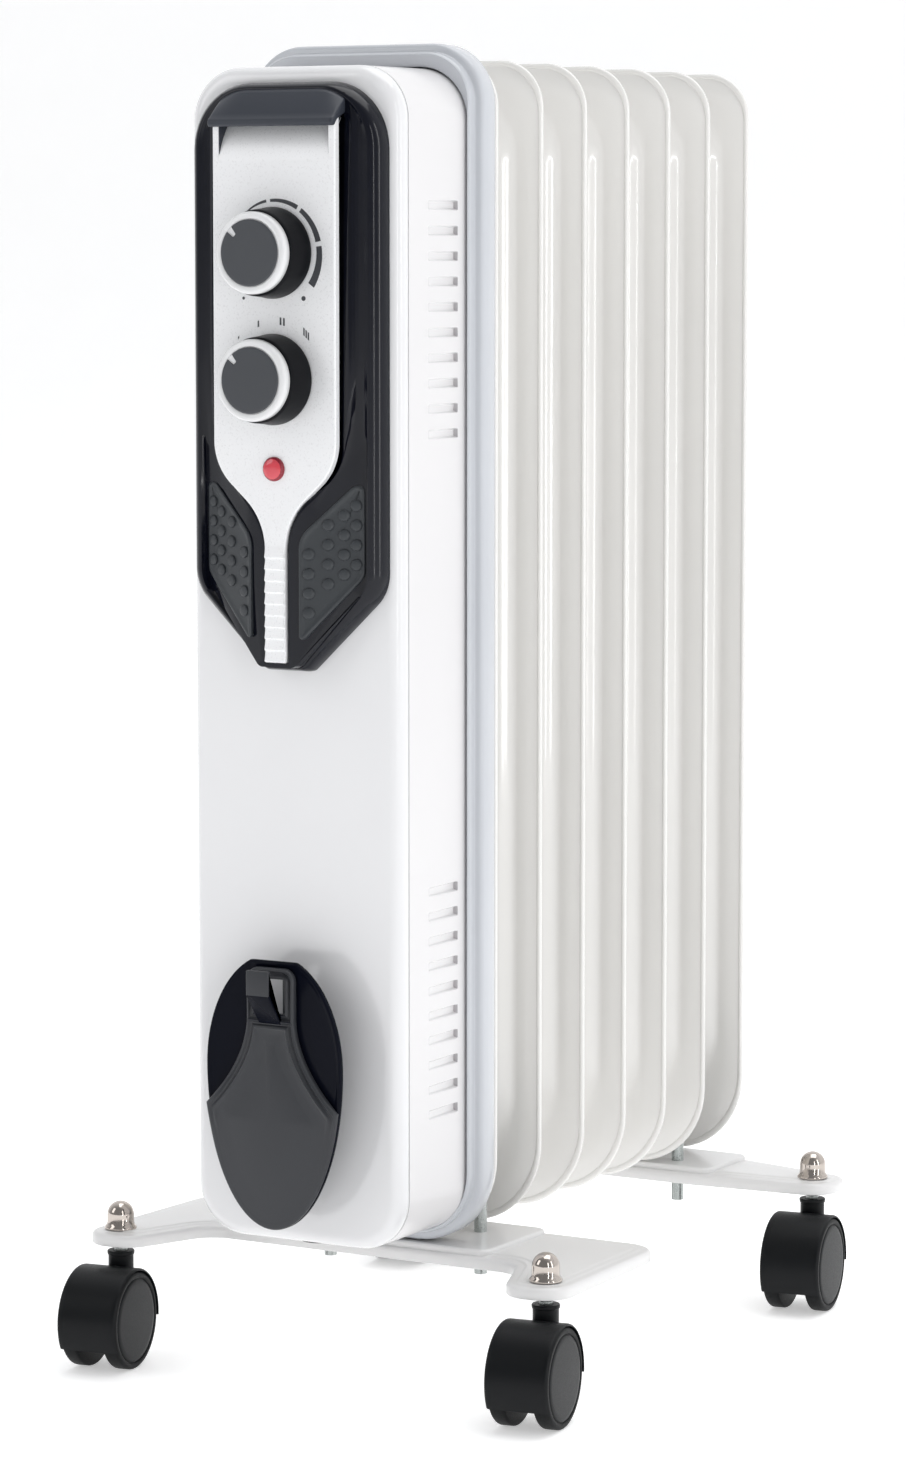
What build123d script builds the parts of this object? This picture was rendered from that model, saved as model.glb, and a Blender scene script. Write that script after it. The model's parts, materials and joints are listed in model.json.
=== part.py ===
"""Oil filled column radiator heater on four castors, millimetres.

The front faces -Y, the fins stack along +Y and +Z is up.  The origin is on the floor, in the
heater's middle plane, halfway between the front and the rear castor stems.
"""
from build123d import *
from math import asin, atan2, cos, degrees, hypot, radians, sin, sqrt, tan
import os

os.makedirs("parts", exist_ok=True)

# ---------------------------------------------------------------- driving dimensions
# radiator fins
fin_count = 7
fin_pitch = 42.38
fin_width = 124.6
fin_height = 548.0
fin_top_radius = 22.0
fin_bottom_radius = 40.0
fin_rim = 2.0                # two sheets seamed together round the edge
fin_margin = 14.5            # flat border outside the pressed oil space
fin_bulge = 6.5              # how far the oil space stands out of the fin's plane
fin_wall = 0.8
fin_slope = 30.0             # draft of the pressed shoulder, degrees
collector_inset = 46.0       # collector axis to the fin's top or bottom edge
collector_radius = 21.0
collector_wall = 3.0
end_boss = 11.0              # closed collector end behind the last fin
first_fin_y = -89.1

# castors
wheel_base = 276.2
track = 231.0
wheel_radius = 23.2
wheel_width = 8.2
wheel_edge = 1.5
hubcap_radius = 19.0
hubcap_step = 0.6
castor_width = 30.0
castor_trail = 14.0
castor_turn = 8.0            # swivel angle at rest, degrees
shroud_wall = 1.1
shroud_front_z = 11.5        # lower edge of the shroud in front of the axle
shroud_rear_z = 21.0         # and behind it
wheel_gap = 0.4
axle_radius = 2.5
axle_cover = 2.0             # closed outer face of each wheel
stem_radius = 3.0
stem_bottom_z = 31.0
running_gap = 0.05
swivel_collar_radius = 6.0
swivel_collar_top_z = 53.5

# feet
foot_bottom_z = 57.5
foot_rim_height = 6.5
foot_sheet = 1.5
foot_raise = 2.0             # pressed platform that the fins stand on
foot_edge = 2.4
lobe_radius = 14.0
foot_corner = 12.0
front_bar_half = 125.0       # half length of the bar under the first two fins
front_arm_inner = 84.0       # inner root of each arm that runs forward to a castor
rear_bar_half = 70.0
platform_half = 66.0
platform_inset = 2.8         # platform edge inside the bar's edge
stem_shoulder_radius = 5.5
stem_shoulder = 2.0
front_foot_lead = 19.0       # foot's near edge ahead of the first fin
rear_foot_lead = 4.5         # foot's near edge ahead of the last fin but one
foot_tail = 4.0              # far edge behind the fin above it
hole_gap = 0.25
u_bolt_radius = 3.0
u_bolt_half_span = 41.5
u_bolt_tip_z = 46.0
u_bolt_bend = 9.0
wing_hub_radius = 5.6
wing_hub_height = 5.5
wing_span = 9.0
wing_sheet = 1.8
cap_nut_height = 13.0
cap_nut_radius = 6.4
cap_flange_radius = 7.6
cap_flange = 2.0

# electrical cover
cover_width = 110.8
cover_bottom_z = 73.8
cover_top_z = 608.6
cover_radius = 24.0
cover_wall = 1.2
panel_front_y = -165.0
panel_depth = 8.0
panel_wall = 2.0
panel_edge = 6.0
panel_lip = 5.0
window_half_width = 26.0
window_bottom_z = 446.0
window_top_z = 552.0
frame_depth = 17.5
frame_lip = 5.0
frame_step = 3.8
frame_top_rise = 6.0
frame_bottom_rise = 0.8
frame_radius = 27.0
frame_gap = 0.4
louvre_count = 10
louvre_pitch = 11.4
louvre_length = 27.6
louvre_height = 4.4
louvre_front_y = -140.0
upper_louvre_z = 549.0
lower_louvre_z = 239.0

# console
console_half_width = 50.2
console_top_z = 601.4
console_top_radius = 30.0
console_knee_z = 374.5
console_knee_radius = 20.0
console_tip_z = 337.5
console_tip_half = 11.0
console_low = 9.5            # height of the outer, lower level above the cover
console_high = 17.0          # height of the fascia above the cover
console_wall = 2.4
bezel_lip = 1.4              # black edge left round the fascia
bezel_step_bottom_z = 436.0
bezel_step_top_z = 592.0
fascia_half_width = 32.2
fascia_sheet = 1.2
fascia_top_z = 567.0
fascia_bottom_z = 342.0
fascia_waist_z = 406.0       # where the tapering sides meet the stem
fascia_shoulder_z = 430.0    # where they leave the straight sides
fascia_waist_radius = 30.0
fascia_shoulder_radius = 26.0
fascia_stem_half = 5.5
rib_pitch = 5.2
rib_count = 10
rib_top_z = 394.0
rib_height = 0.9
grip_slope = 13.0            # finger recess: depth and height of its sloping floor
grip_roof_z = 596.0
hood_edge_z = 581.5
hood_reach = 20.5            # hood lip ahead of the cover
hood_lip = 3.0
hood_wall = 2.4
pad_sheet = 2.4
pad_inner_x = 9.0
pad_outer_x = 43.0
pad_bottom_z = 347.3
pad_corner_z = 380.6
pad_top_z = 422.4
pad_shoulder_x = 35.5
pad_waist_z = 399.0
pad_corner = 3.0
pad_depth = 2.0
dot_radius = 2.4
dot_height = 0.7
dot_pitch = 8.8
dot_columns = 4
dot_column_pitch = 7.8
dot_margin = 4.6
lamp_z = 429.2
lamp_radius = 5.5
lamp_height = 2.5
lamp_body_radius = 4.5
lamp_body_length = 18.0

# knobs and switches
thermostat_z = 525.5
mode_z = 469.2
skirt_radius = 20.4
skirt_height = 10.5
skirt_draft = 6.0
ring_radius = 18.3
ring_floor = 2.0
cap_radius = 14.8
knob_height = 20.2
knob_gap = 0.4
cap_proud = 0.6              # cap ahead of the ring's edge
pointer_turn = 45.0          # pointer at rest, left of straight up
pointer_width = 2.6
pointer_length = 4.6
shaft_radius = 3.0
shaft_reach = 9.0
bush_radius = 5.0
switch_width = 34.0
switch_depth = 20.0

# cord winder
winder_bottom_z = 83.7
winder_top_z = 207.0
winder_crown = 3.0           # what the flat top cuts off the upper ellipse
winder_half_width = 36.0
winder_wide_z = 158.0
winder_stand = 17.0          # groove for the cord behind the plate
winder_plate = 3.0
winder_face_sheet = 2.4
winder_core_half = 14.0
winder_core_bottom_z = 110.0
winder_core_top_z = 176.0
neck_half = 12.7
neck_foot_z = 178.0
flare_z = 140.0
slot_half = 6.5
slot_bottom_z = 182.0
slot_top_z = 203.0
hook_half = 5.3
hook_reach = 11.0
hook_sheet = 2.0
hook_rise_z = 191.5
screw_radius = 1.9
screw_head_radius = 3.6
screw_head = 2.4
screw_length = 12.0

# cord inlet, heating element and wiring
gland_bore_radius = 4.0
gland_body_radius = 7.0
gland_flange_radius = 9.5
gland_flange = 2.0
gland_length = 8.0
gland_y = -144.0
plug_head = 4.0
plug_head_radius = 23.0
plug_spigot = 8.0
gasket = 1.5
strap_sheet = 1.2
strap_half_height = 8.0
element_radius = 3.2
element_spread = 7.0
element_length = 250.0
terminal_length = 12.0
cutout_radius = 8.0
cutout_height = 8.0
cutout_z = 330.0
block_width = 32.0
block_height = 14.0
block_depth = 11.0
block_z = 98.0
wire_radius = 1.6
wire_bend = 8.0
wire_set = 8.0               # wires either side of the middle plane

# ---------------------------------------------------------------- places worked out from them
foot_top_z = foot_bottom_z + foot_rim_height
fin_bottom_z = foot_top_z + foot_raise
fin_top_z = fin_bottom_z + fin_height
fin_y = [first_fin_y + k * fin_pitch for k in range(fin_count)]
collector_low_z = fin_bottom_z + collector_inset
collector_high_z = fin_top_z - collector_inset
boss_front_y = fin_y[0] - fin_pitch / 2
frame_back_y = fin_y[0] - fin_rim / 2 - frame_gap
frame_bottom_z = fin_bottom_z + frame_bottom_rise
frame_top_z = fin_top_z + frame_top_rise
shell_back_y = frame_back_y - cover_wall
panel_back_y = panel_front_y + panel_depth
low_y = panel_front_y - console_low
fascia_y = panel_front_y - console_high
bezel_y = fascia_y + fascia_sheet
bezel_inside_y = bezel_y + console_wall
knob_back_y = fascia_y - knob_gap
knob_front_y = knob_back_y - knob_height
winder_back_y = panel_front_y - winder_stand
winder_front_y = winder_back_y - winder_plate
winder_face_y = winder_front_y - winder_face_sheet
front_bolt_y = (fin_y[0] + fin_y[1]) / 2
rear_bolt_y = fin_y[-2] + fin_bulge + u_bolt_radius + 1.7
u_bolt_top_z = collector_low_z + collector_radius + u_bolt_radius
castors = {
    "fl": (-track / 2, -wheel_base / 2),
    "fr": (track / 2, -wheel_base / 2),
    "rl": (-track / 2, wheel_base / 2),
    "rr": (track / 2, wheel_base / 2),
}


def facing(y):
    """Sketch plane at depth y that looks out of the front: local x is X, local y is Z."""
    return Plane(origin=(0, y, 0), x_dir=(1, 0, 0), z_dir=(0, -1, 0))


def side(x=0):
    """Sketch plane at X = x that looks along +X: local x is Y, local y is Z."""
    return Plane(origin=(x, 0, 0), x_dir=(0, 1, 0), z_dir=(1, 0, 0))


def save(part, name):
    part.part.label = name
    export_step(part.part, f"parts/{name}.step")


def panel_face(y, width, bottom, top, low_radius, high_radius):
    """Upright rectangle facing the front with its own corner radii below and above."""
    with BuildSketch(facing(y)) as face:
        with Locations((0, (bottom + top) / 2)):
            Rectangle(width, top - bottom)
        fillet(face.vertices().group_by(Axis.Y)[0], low_radius)
        fillet(face.vertices().group_by(Axis.Y)[-1], high_radius)
    return face.sketch


def fin_face(y, inset):
    """The fin's outline drawn in by a margin."""
    return panel_face(y, fin_width - 2 * inset, fin_bottom_z + inset, fin_top_z - inset,
                      fin_bottom_radius - inset / 2, fin_top_radius - inset / 3)


def frame_face(y, inset):
    return panel_face(y, fin_width - 2 * inset, frame_bottom_z + inset, frame_top_z - inset,
                      frame_radius + 8 - inset, frame_radius - inset)


def cover_face(y, inset):
    return panel_face(y, cover_width - 2 * inset, cover_bottom_z + inset, cover_top_z - inset,
                      cover_radius - inset, cover_radius - inset)


def collector_faces(y, radius):
    with BuildSketch(facing(y)) as face:
        with Locations((0, collector_low_z), (0, collector_high_z)):
            Circle(radius)
    return face.sketch


# ---------------------------------------------------------------- radiator fins
def make_fin(k):
    """Two pressed sheets seamed at the rim, hollow, joined to the next fin by two collectors."""
    y = fin_y[k]
    last = k == fin_count - 1
    rear_y = y + (end_boss if last else fin_pitch / 2)
    bore_end_y = rear_y - (collector_wall if last else 0)
    front_y = y - fin_pitch / 2
    hollow = fin_margin + fin_wall + fin_bulge * tan(radians(fin_slope))
    rim = fin_face(y, 0)
    shoulder = fin_face(y, fin_margin)
    cavity = fin_face(y, hollow)
    bosses = collector_faces(rear_y, collector_radius)
    bores = collector_faces(bore_end_y, collector_radius - collector_wall)
    with BuildPart() as fin:
        extrude(rim, amount=fin_rim / 2, both=True)
        extrude(shoulder, amount=fin_bulge, taper=fin_slope, both=True)
        extrude(bosses, amount=rear_y - front_y)
        extrude(cavity, amount=fin_bulge - fin_wall, both=True, mode=Mode.SUBTRACT)
        extrude(bores, amount=bore_end_y - front_y, mode=Mode.SUBTRACT)
    return fin


for k in range(fin_count):
    save(make_fin(k), f"fin_{k + 1}")


# ---------------------------------------------------------------- collector plugs and element
def make_strap(z):
    """Flat strap behind a collector plug, with its ends bent along the cover's side walls."""
    half = cover_width / 2 - cover_wall
    with BuildPart() as strap:
        with BuildSketch(facing(boss_front_y)):
            with Locations((0, z)):
                Rectangle(2 * half, 2 * strap_half_height)
                Circle(collector_radius)
                Circle(collector_radius - collector_wall + hole_gap, mode=Mode.SUBTRACT)
        extrude(amount=strap_sheet)
        for sign in (-1, 1):
            with Locations((sign * (half - strap_sheet / 2), boss_front_y - strap_half_height, z)):
                Box(strap_sheet, 2 * strap_half_height, 2 * strap_half_height)
    return strap


save(make_strap(collector_high_z), "top_bracket")
save(make_strap(collector_low_z), "bottom_bracket")

plug_y = boss_front_y - strap_sheet
bore_radius = collector_radius - collector_wall

with BuildPart() as filler_plug:
    with BuildSketch(facing(boss_front_y + plug_spigot)):
        with Locations((0, collector_high_z)):
            Circle(bore_radius)
    extrude(amount=plug_spigot + strap_sheet)
    with BuildSketch(facing(plug_y)):
        with Locations((0, collector_high_z)):
            RegularPolygon(collector_radius, 6)
    extrude(amount=plug_head)
save(filler_plug, "filler_plug")

with BuildPart() as element_gasket:
    with BuildSketch(facing(plug_y)):
        with Locations((0, collector_low_z)):
            Circle(plug_head_radius)
            Circle(bore_radius, mode=Mode.SUBTRACT)
    extrude(amount=gasket)
save(element_gasket, "element_gasket")

tube_spots = [(x, collector_low_z + z) for x in (-element_spread, element_spread)
              for z in (-element_spread, element_spread)]
flange_y = plug_y - gasket
with BuildPart() as element_flange:
    with BuildSketch(facing(boss_front_y + plug_spigot)):
        with Locations((0, collector_low_z)):
            Circle(bore_radius)
    extrude(amount=boss_front_y + plug_spigot - flange_y)
    with BuildSketch(facing(flange_y)):
        with Locations((0, collector_low_z)):
            Circle(plug_head_radius)
    extrude(amount=plug_head)
    with BuildSketch(facing(flange_y - plug_head)):
        with Locations(*tube_spots):
            Circle(element_radius)
    extrude(amount=-(plug_head + plug_spigot + strap_sheet + gasket), mode=Mode.SUBTRACT)
save(element_flange, "element_flange")

element_front_y = flange_y - plug_head - terminal_length
with BuildPart() as heating_element:
    for x in (-element_spread, element_spread):
        low = collector_low_z - element_spread
        high = collector_low_z + element_spread
        end = element_front_y + element_length
        with BuildLine(side(x)) as path:
            Line((element_front_y, low), (end, low))
            ThreePointArc((end, low), (end + element_spread, collector_low_z), (end, high))
            Line((end, high), (element_front_y, high))
        with BuildSketch(Plane(origin=(x, element_front_y, low), z_dir=(0, 1, 0))) as section:
            Circle(element_radius)
        sweep(section.sketch, path=path.wire())
save(heating_element, "heating_element")

with BuildPart() as thermal_cutout:
    with BuildSketch(facing(fin_y[0] - fin_bulge)):
        with Locations((0, cutout_z)):
            Circle(cutout_radius)
    extrude(amount=cutout_height)
    fillet(thermal_cutout.faces().sort_by(Axis.Y)[0].edges(), 1)
save(thermal_cutout, "thermal_cutout")

# ---------------------------------------------------------------- back frame, side shell, panel
frame_outer = frame_face(frame_back_y, 0)
frame_inner = frame_face(frame_back_y, frame_step)
frame_hollow = frame_face(shell_back_y, cover_wall)
frame_mouth = frame_face(shell_back_y, frame_lip)
frame_opening = fin_face(frame_back_y, fin_margin - 1)
with BuildPart() as back_frame:
    extrude(frame_outer, amount=frame_depth - frame_lip)
    extrude(frame_inner, amount=frame_depth)
    extrude(frame_hollow, amount=frame_depth - frame_lip - 2 * cover_wall, mode=Mode.SUBTRACT)
    extrude(frame_mouth, amount=frame_depth, mode=Mode.SUBTRACT)
    extrude(frame_opening, amount=frame_depth, mode=Mode.SUBTRACT)
save(back_frame, "back_frame")

shell_outer = cover_face(shell_back_y, 0)
shell_inner = cover_face(shell_back_y, cover_wall)
shell_depth = shell_back_y - panel_back_y
louvre_y = louvre_front_y + louvre_length / 2
with BuildPart() as side_shell:
    extrude(shell_outer, amount=shell_depth)
    extrude(shell_inner, amount=shell_depth, mode=Mode.SUBTRACT)
    with BuildSketch(side()):
        for top_z in (upper_louvre_z, lower_louvre_z):
            for row in range(louvre_count):
                with Locations((louvre_y, top_z - row * louvre_pitch - louvre_height / 2)):
                    SlotOverall(louvre_length, louvre_height)
    extrude(amount=cover_width, both=True, mode=Mode.SUBTRACT)
    with Locations((0, gland_y, cover_bottom_z)):
        Cylinder(gland_body_radius, 4 * cover_wall, mode=Mode.SUBTRACT)
save(side_shell, "side_shell")

panel_outer = cover_face(panel_back_y, 0)
panel_rib_outer = cover_face(panel_back_y + panel_lip, cover_wall + hole_gap)
panel_rib_inner = cover_face(panel_back_y + panel_lip, cover_wall + hole_gap + panel_wall)
winder_screw_spots = [(0, winder_core_bottom_z + 14), (0, winder_core_top_z - 14)]
with BuildPart() as front_panel:
    extrude(panel_outer, amount=panel_depth)
    fillet(front_panel.faces().sort_by(Axis.Y)[0].edges(), panel_edge)
    extrude(panel_rib_outer, amount=panel_lip + panel_depth - panel_wall)
    extrude(panel_rib_inner, amount=panel_lip + panel_depth - panel_wall, mode=Mode.SUBTRACT)
    with BuildSketch(facing(panel_front_y)):
        with Locations((0, (window_bottom_z + window_top_z) / 2)):
            RectangleRounded(2 * window_half_width, window_top_z - window_bottom_z, 5)
        with Locations((0, lamp_z)):
            Circle(lamp_body_radius + hole_gap)
        with Locations(*winder_screw_spots):
            Circle(screw_radius + hole_gap)
    extrude(amount=-panel_depth, mode=Mode.SUBTRACT)
save(front_panel, "front_panel")


# ---------------------------------------------------------------- console
def console_outline(y):
    half, tip = console_half_width, console_tip_half
    with BuildSketch(facing(y)) as face:
        with BuildLine():
            Polyline((-tip, console_tip_z), (tip, console_tip_z), (half, console_knee_z),
                     (half, console_top_z), (-half, console_top_z), (-half, console_knee_z),
                     close=True)
        make_face()
        levels = face.vertices().group_by(Axis.Y)
        fillet(levels[0], 4)
        fillet(face.vertices().group_by(Axis.Y)[-1], console_top_radius)
        knees = [v for v in face.vertices() if abs(v.Y - console_knee_z) < 0.01]
        fillet(knees, console_knee_radius)
    return face.sketch


def fascia_outline(y, grow):
    """Straight sides that run in to a narrow stem, grown outwards by a margin."""
    half, stem = fascia_half_width, fascia_stem_half
    with BuildSketch(facing(y)) as face:
        with BuildLine():
            Polyline((-stem, fascia_bottom_z), (stem, fascia_bottom_z), (stem, fascia_waist_z),
                     (half, fascia_shoulder_z), (half, fascia_top_z), (-half, fascia_top_z),
                     (-half, fascia_shoulder_z), (-stem, fascia_waist_z), close=True)
        make_face()
        fillet([v for v in face.vertices() if abs(v.Y - fascia_waist_z) < 0.01],
               fascia_waist_radius)
        fillet([v for v in face.vertices() if abs(v.Y - fascia_shoulder_z) < 0.01],
               fascia_shoulder_radius)
        if grow:
            offset(amount=grow, kind=Kind.INTERSECTION)
    return face.sketch


def pad_outline(y, sign, grow):
    with BuildSketch(facing(y)) as face:
        with BuildLine():
            Polyline((sign * pad_inner_x, pad_bottom_z), (sign * pad_outer_x, pad_corner_z),
                     (sign * pad_outer_x, pad_top_z), (sign * pad_shoulder_x, pad_top_z),
                     (sign * pad_inner_x, pad_waist_z), close=True)
        make_face()
        fillet(face.vertices(), pad_corner)
        if grow:
            offset(amount=grow)
    return face.sketch


def dot_spots(sign):
    """Staggered columns of dots kept a margin inside the pad's edges."""
    lower = (pad_corner_z - pad_bottom_z) / (pad_outer_x - pad_inner_x)
    upper = (pad_top_z - pad_waist_z) / (pad_shoulder_x - pad_inner_x)
    spots = []
    for column in range(dot_columns):
        x = pad_inner_x + dot_margin + column * dot_column_pitch
        low = pad_bottom_z + lower * (x - pad_inner_x) + dot_margin * 1.3
        high = min(pad_waist_z + upper * (x - pad_inner_x), pad_top_z) - dot_margin
        z = pad_top_z - dot_margin - (column % 2) * dot_pitch / 2
        while z > low:
            if z < high:
                spots.append((sign * x, z))
            z -= dot_pitch
    return spots


recess_y = fascia_y + grip_slope
bezel_low = console_outline(panel_front_y)
bezel_rail = fascia_outline(panel_front_y, bezel_lip)
step_height = low_y - bezel_y
step_face = panel_face(low_y, 2 * (fascia_half_width + bezel_lip + step_height),
                       bezel_step_bottom_z, bezel_step_top_z, 12, 22)
pad_seats = [pad_outline(low_y + pad_depth, sign, hole_gap) for sign in (-1, 1)]
switch_spots = [(0, thermostat_z), (0, mode_z)]
with BuildPart() as console_bezel:
    extrude(bezel_low, amount=console_low, taper=42)
    extrude(step_face, amount=step_height, taper=44)
    extrude(bezel_rail, amount=console_high - fascia_sheet)
    with BuildSketch(side(-fascia_half_width)):
        with BuildLine():
            Polyline((bezel_y, fascia_top_z - fascia_sheet / 2),
                     (recess_y + fascia_sheet, fascia_top_z + grip_slope - fascia_sheet / 2),
                     (recess_y + fascia_sheet, grip_roof_z), (knob_front_y, grip_roof_z),
                     (knob_front_y, fascia_top_z - fascia_sheet / 2), close=True)
        make_face()
    extrude(amount=2 * fascia_half_width, mode=Mode.SUBTRACT)
    with BuildSketch(facing(panel_front_y)):
        with Locations((0, (window_bottom_z + window_top_z) / 2)):
            RectangleRounded(2 * window_half_width, window_top_z - window_bottom_z, 5)
    extrude(amount=panel_front_y - bezel_inside_y, mode=Mode.SUBTRACT)
    with BuildSketch(facing(panel_front_y)):
        with Locations(*switch_spots):
            Circle(bush_radius + hole_gap)
        with Locations((0, lamp_z)):
            Circle(lamp_body_radius + hole_gap)
    extrude(amount=console_high, mode=Mode.SUBTRACT)
    for seat in pad_seats:
        extrude(seat, amount=pad_depth + pad_sheet, mode=Mode.SUBTRACT)
save(console_bezel, "console_bezel")

fascia_face = fascia_outline(bezel_y, 0)
with BuildPart() as fascia_panel:
    extrude(fascia_face, amount=fascia_sheet)
    with BuildSketch(side(-fascia_half_width)):
        with BuildLine():
            Polyline((fascia_y, fascia_top_z), (recess_y, fascia_top_z + grip_slope),
                     (recess_y, grip_roof_z), (recess_y + fascia_sheet, grip_roof_z),
                     (recess_y + fascia_sheet, fascia_top_z + grip_slope - fascia_sheet / 2),
                     (bezel_y, fascia_top_z - fascia_sheet / 2), close=True)
        make_face()
    extrude(amount=2 * fascia_half_width)
    with BuildSketch(side(-fascia_stem_half)):
        for rib in range(rib_count):
            top_z = rib_top_z - rib * rib_pitch
            with BuildLine():
                Polyline((fascia_y, top_z), (fascia_y - rib_height, top_z - 0.7 * rib_pitch),
                         (fascia_y, top_z - rib_pitch), close=True)
            make_face()
    extrude(amount=2 * fascia_stem_half)
    with BuildSketch(facing(bezel_y)):
        with Locations(*switch_spots):
            Circle(bush_radius + hole_gap)
        with Locations((0, lamp_z)):
            Circle(lamp_body_radius + hole_gap)
    extrude(amount=2 * fascia_sheet, mode=Mode.SUBTRACT)
save(fascia_panel, "fascia_panel")

hood_y = panel_front_y - hood_reach
hood_inner_y = hood_y + hood_wall
with BuildPart() as handle_grip:
    with BuildSketch(side(-fascia_half_width)):
        with BuildLine():
            Polyline((recess_y, grip_roof_z), (hood_y, hood_edge_z + hood_lip),
                     (hood_y, hood_edge_z), (hood_inner_y, hood_edge_z),
                     (hood_inner_y, hood_edge_z + hood_lip - hood_wall / 2),
                     (recess_y, grip_roof_z - hood_lip), close=True)
        make_face()
    extrude(amount=2 * fascia_half_width)
    for start_x in (-fascia_half_width, fascia_half_width - hood_wall):
        with BuildSketch(side(start_x)):
            with BuildLine():
                Polyline((recess_y, grip_roof_z), (hood_y, hood_edge_z + hood_lip),
                         (hood_y, hood_edge_z), (recess_y, hood_edge_z), close=True)
            make_face()
        extrude(amount=hood_wall)
save(handle_grip, "handle_grip")

for name, sign in (("dot_pad_left", -1), ("dot_pad_right", 1)):
    pad_face = pad_outline(low_y + pad_depth, sign, 0)
    with BuildPart() as dot_pad:
        extrude(pad_face, amount=pad_sheet)
        with BuildSketch(facing(low_y + pad_depth - pad_sheet)):
            with Locations(*dot_spots(sign)):
                Circle(dot_radius)
        extrude(amount=dot_height, taper=20)
    save(dot_pad, name)

with BuildPart() as lamp_lens:
    with BuildSketch(facing(fascia_y)):
        with Locations((0, lamp_z)):
            Circle(lamp_radius)
    extrude(amount=lamp_height)
    fillet(lamp_lens.faces().sort_by(Axis.Y)[0].edges(), lamp_height * 0.6)
save(lamp_lens, "lamp_lens")

with BuildPart() as lamp_body:
    with BuildSketch(facing(fascia_y)):
        with Locations((0, lamp_z)):
            Circle(lamp_body_radius)
    extrude(amount=-lamp_body_length)
save(lamp_body, "lamp_body")


# ---------------------------------------------------------------- switches and knobs
def polar(centre_z, radius, turn):
    """Point at a turn, in degrees left of straight up, about a knob's centre."""
    return (-radius * sin(radians(turn)), centre_z + radius * cos(radians(turn)))


def make_control(name, body_name, shaft_name, z):
    """Switch body with its bush, its shaft, and the three pieces of the knob on the shaft."""
    back_y = bezel_inside_y + switch_depth
    with BuildPart() as body:
        with BuildSketch(facing(bezel_inside_y)):
            with Locations((0, z)):
                RectangleRounded(switch_width, switch_width, 2)
        extrude(amount=-switch_depth)
        with BuildSketch(facing(bezel_inside_y)):
            with Locations((0, z)):
                Circle(bush_radius)
        extrude(amount=bezel_inside_y - fascia_y)
        with BuildSketch(facing(back_y - console_wall)):
            with Locations((0, z)):
                Circle(shaft_radius + running_gap)
        extrude(amount=2 * switch_depth, mode=Mode.SUBTRACT)
    save(body, body_name)
    with BuildPart() as shaft:
        with BuildSketch(facing(back_y - console_wall - wheel_gap)):
            with Locations((0, z)):
                Circle(shaft_radius)
        extrude(amount=back_y - console_wall - wheel_gap - knob_back_y + shaft_reach)
    save(shaft, shaft_name)
    skirt_y = knob_back_y - skirt_height
    with BuildPart() as skirt:
        with BuildSketch(facing(knob_back_y)):
            with Locations((0, z)):
                Circle(skirt_radius)
        extrude(amount=skirt_height, taper=skirt_draft)
        with BuildSketch(facing(skirt_y)):
            with Locations((0, z)):
                Circle(ring_radius / 2)
        extrude(amount=ring_floor)
        with BuildSketch(facing(knob_back_y)):
            with Locations((0, z)):
                Circle(shaft_radius)
        extrude(amount=shaft_reach, mode=Mode.SUBTRACT)
    save(skirt, f"{name}_skirt")
    with BuildPart() as ring:
        with BuildSketch(facing(skirt_y)):
            with Locations((0, z)):
                Circle(ring_radius)
        extrude(amount=knob_height - skirt_height - cap_proud)
        fillet(ring.faces().sort_by(Axis.Y)[0].edges(), 0.8)
        with BuildSketch(facing(skirt_y - ring_floor)):
            with Locations((0, z)):
                Circle(cap_radius)
        extrude(amount=knob_height, mode=Mode.SUBTRACT)
        with BuildSketch(facing(skirt_y)):
            with Locations((0, z)):
                Circle(ring_radius / 2)
        extrude(amount=ring_floor, mode=Mode.SUBTRACT)
        with BuildSketch(facing(skirt_y - ring_floor)):
            with Locations(polar(z, cap_radius - pointer_length / 2, pointer_turn)):
                Rectangle(pointer_width, pointer_length + 0.6, rotation=pointer_turn)
        extrude(amount=knob_height - skirt_height - ring_floor - cap_proud)
    save(ring, f"{name}_ring")
    with BuildPart() as cap:
        with BuildSketch(facing(skirt_y - ring_floor)):
            with Locations((0, z)):
                Circle(cap_radius)
            with Locations(polar(z, cap_radius - pointer_length / 2, pointer_turn)):
                Rectangle(pointer_width, pointer_length + 0.6, rotation=pointer_turn,
                          mode=Mode.SUBTRACT)
        extrude(amount=knob_height - skirt_height - ring_floor)
    save(cap, f"{name}_cap")


make_control("thermostat_knob", "thermostat_body", "thermostat_shaft", thermostat_z)
make_control("mode_knob", "mode_switch_body", "mode_switch_shaft", mode_z)


# ---------------------------------------------------------------- cord winder
lower_axis = winder_wide_z - winder_bottom_z
upper_axis = winder_top_z - winder_wide_z + winder_crown
crown_turn = degrees(asin((winder_top_z - winder_wide_z) / upper_axis))
crown_half = winder_half_width * cos(radians(crown_turn))
flare_turn = degrees(asin((winder_wide_z - flare_z) / lower_axis))
flare_half = winder_half_width * cos(radians(flare_turn))
centre = (0, winder_wide_z)

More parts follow.
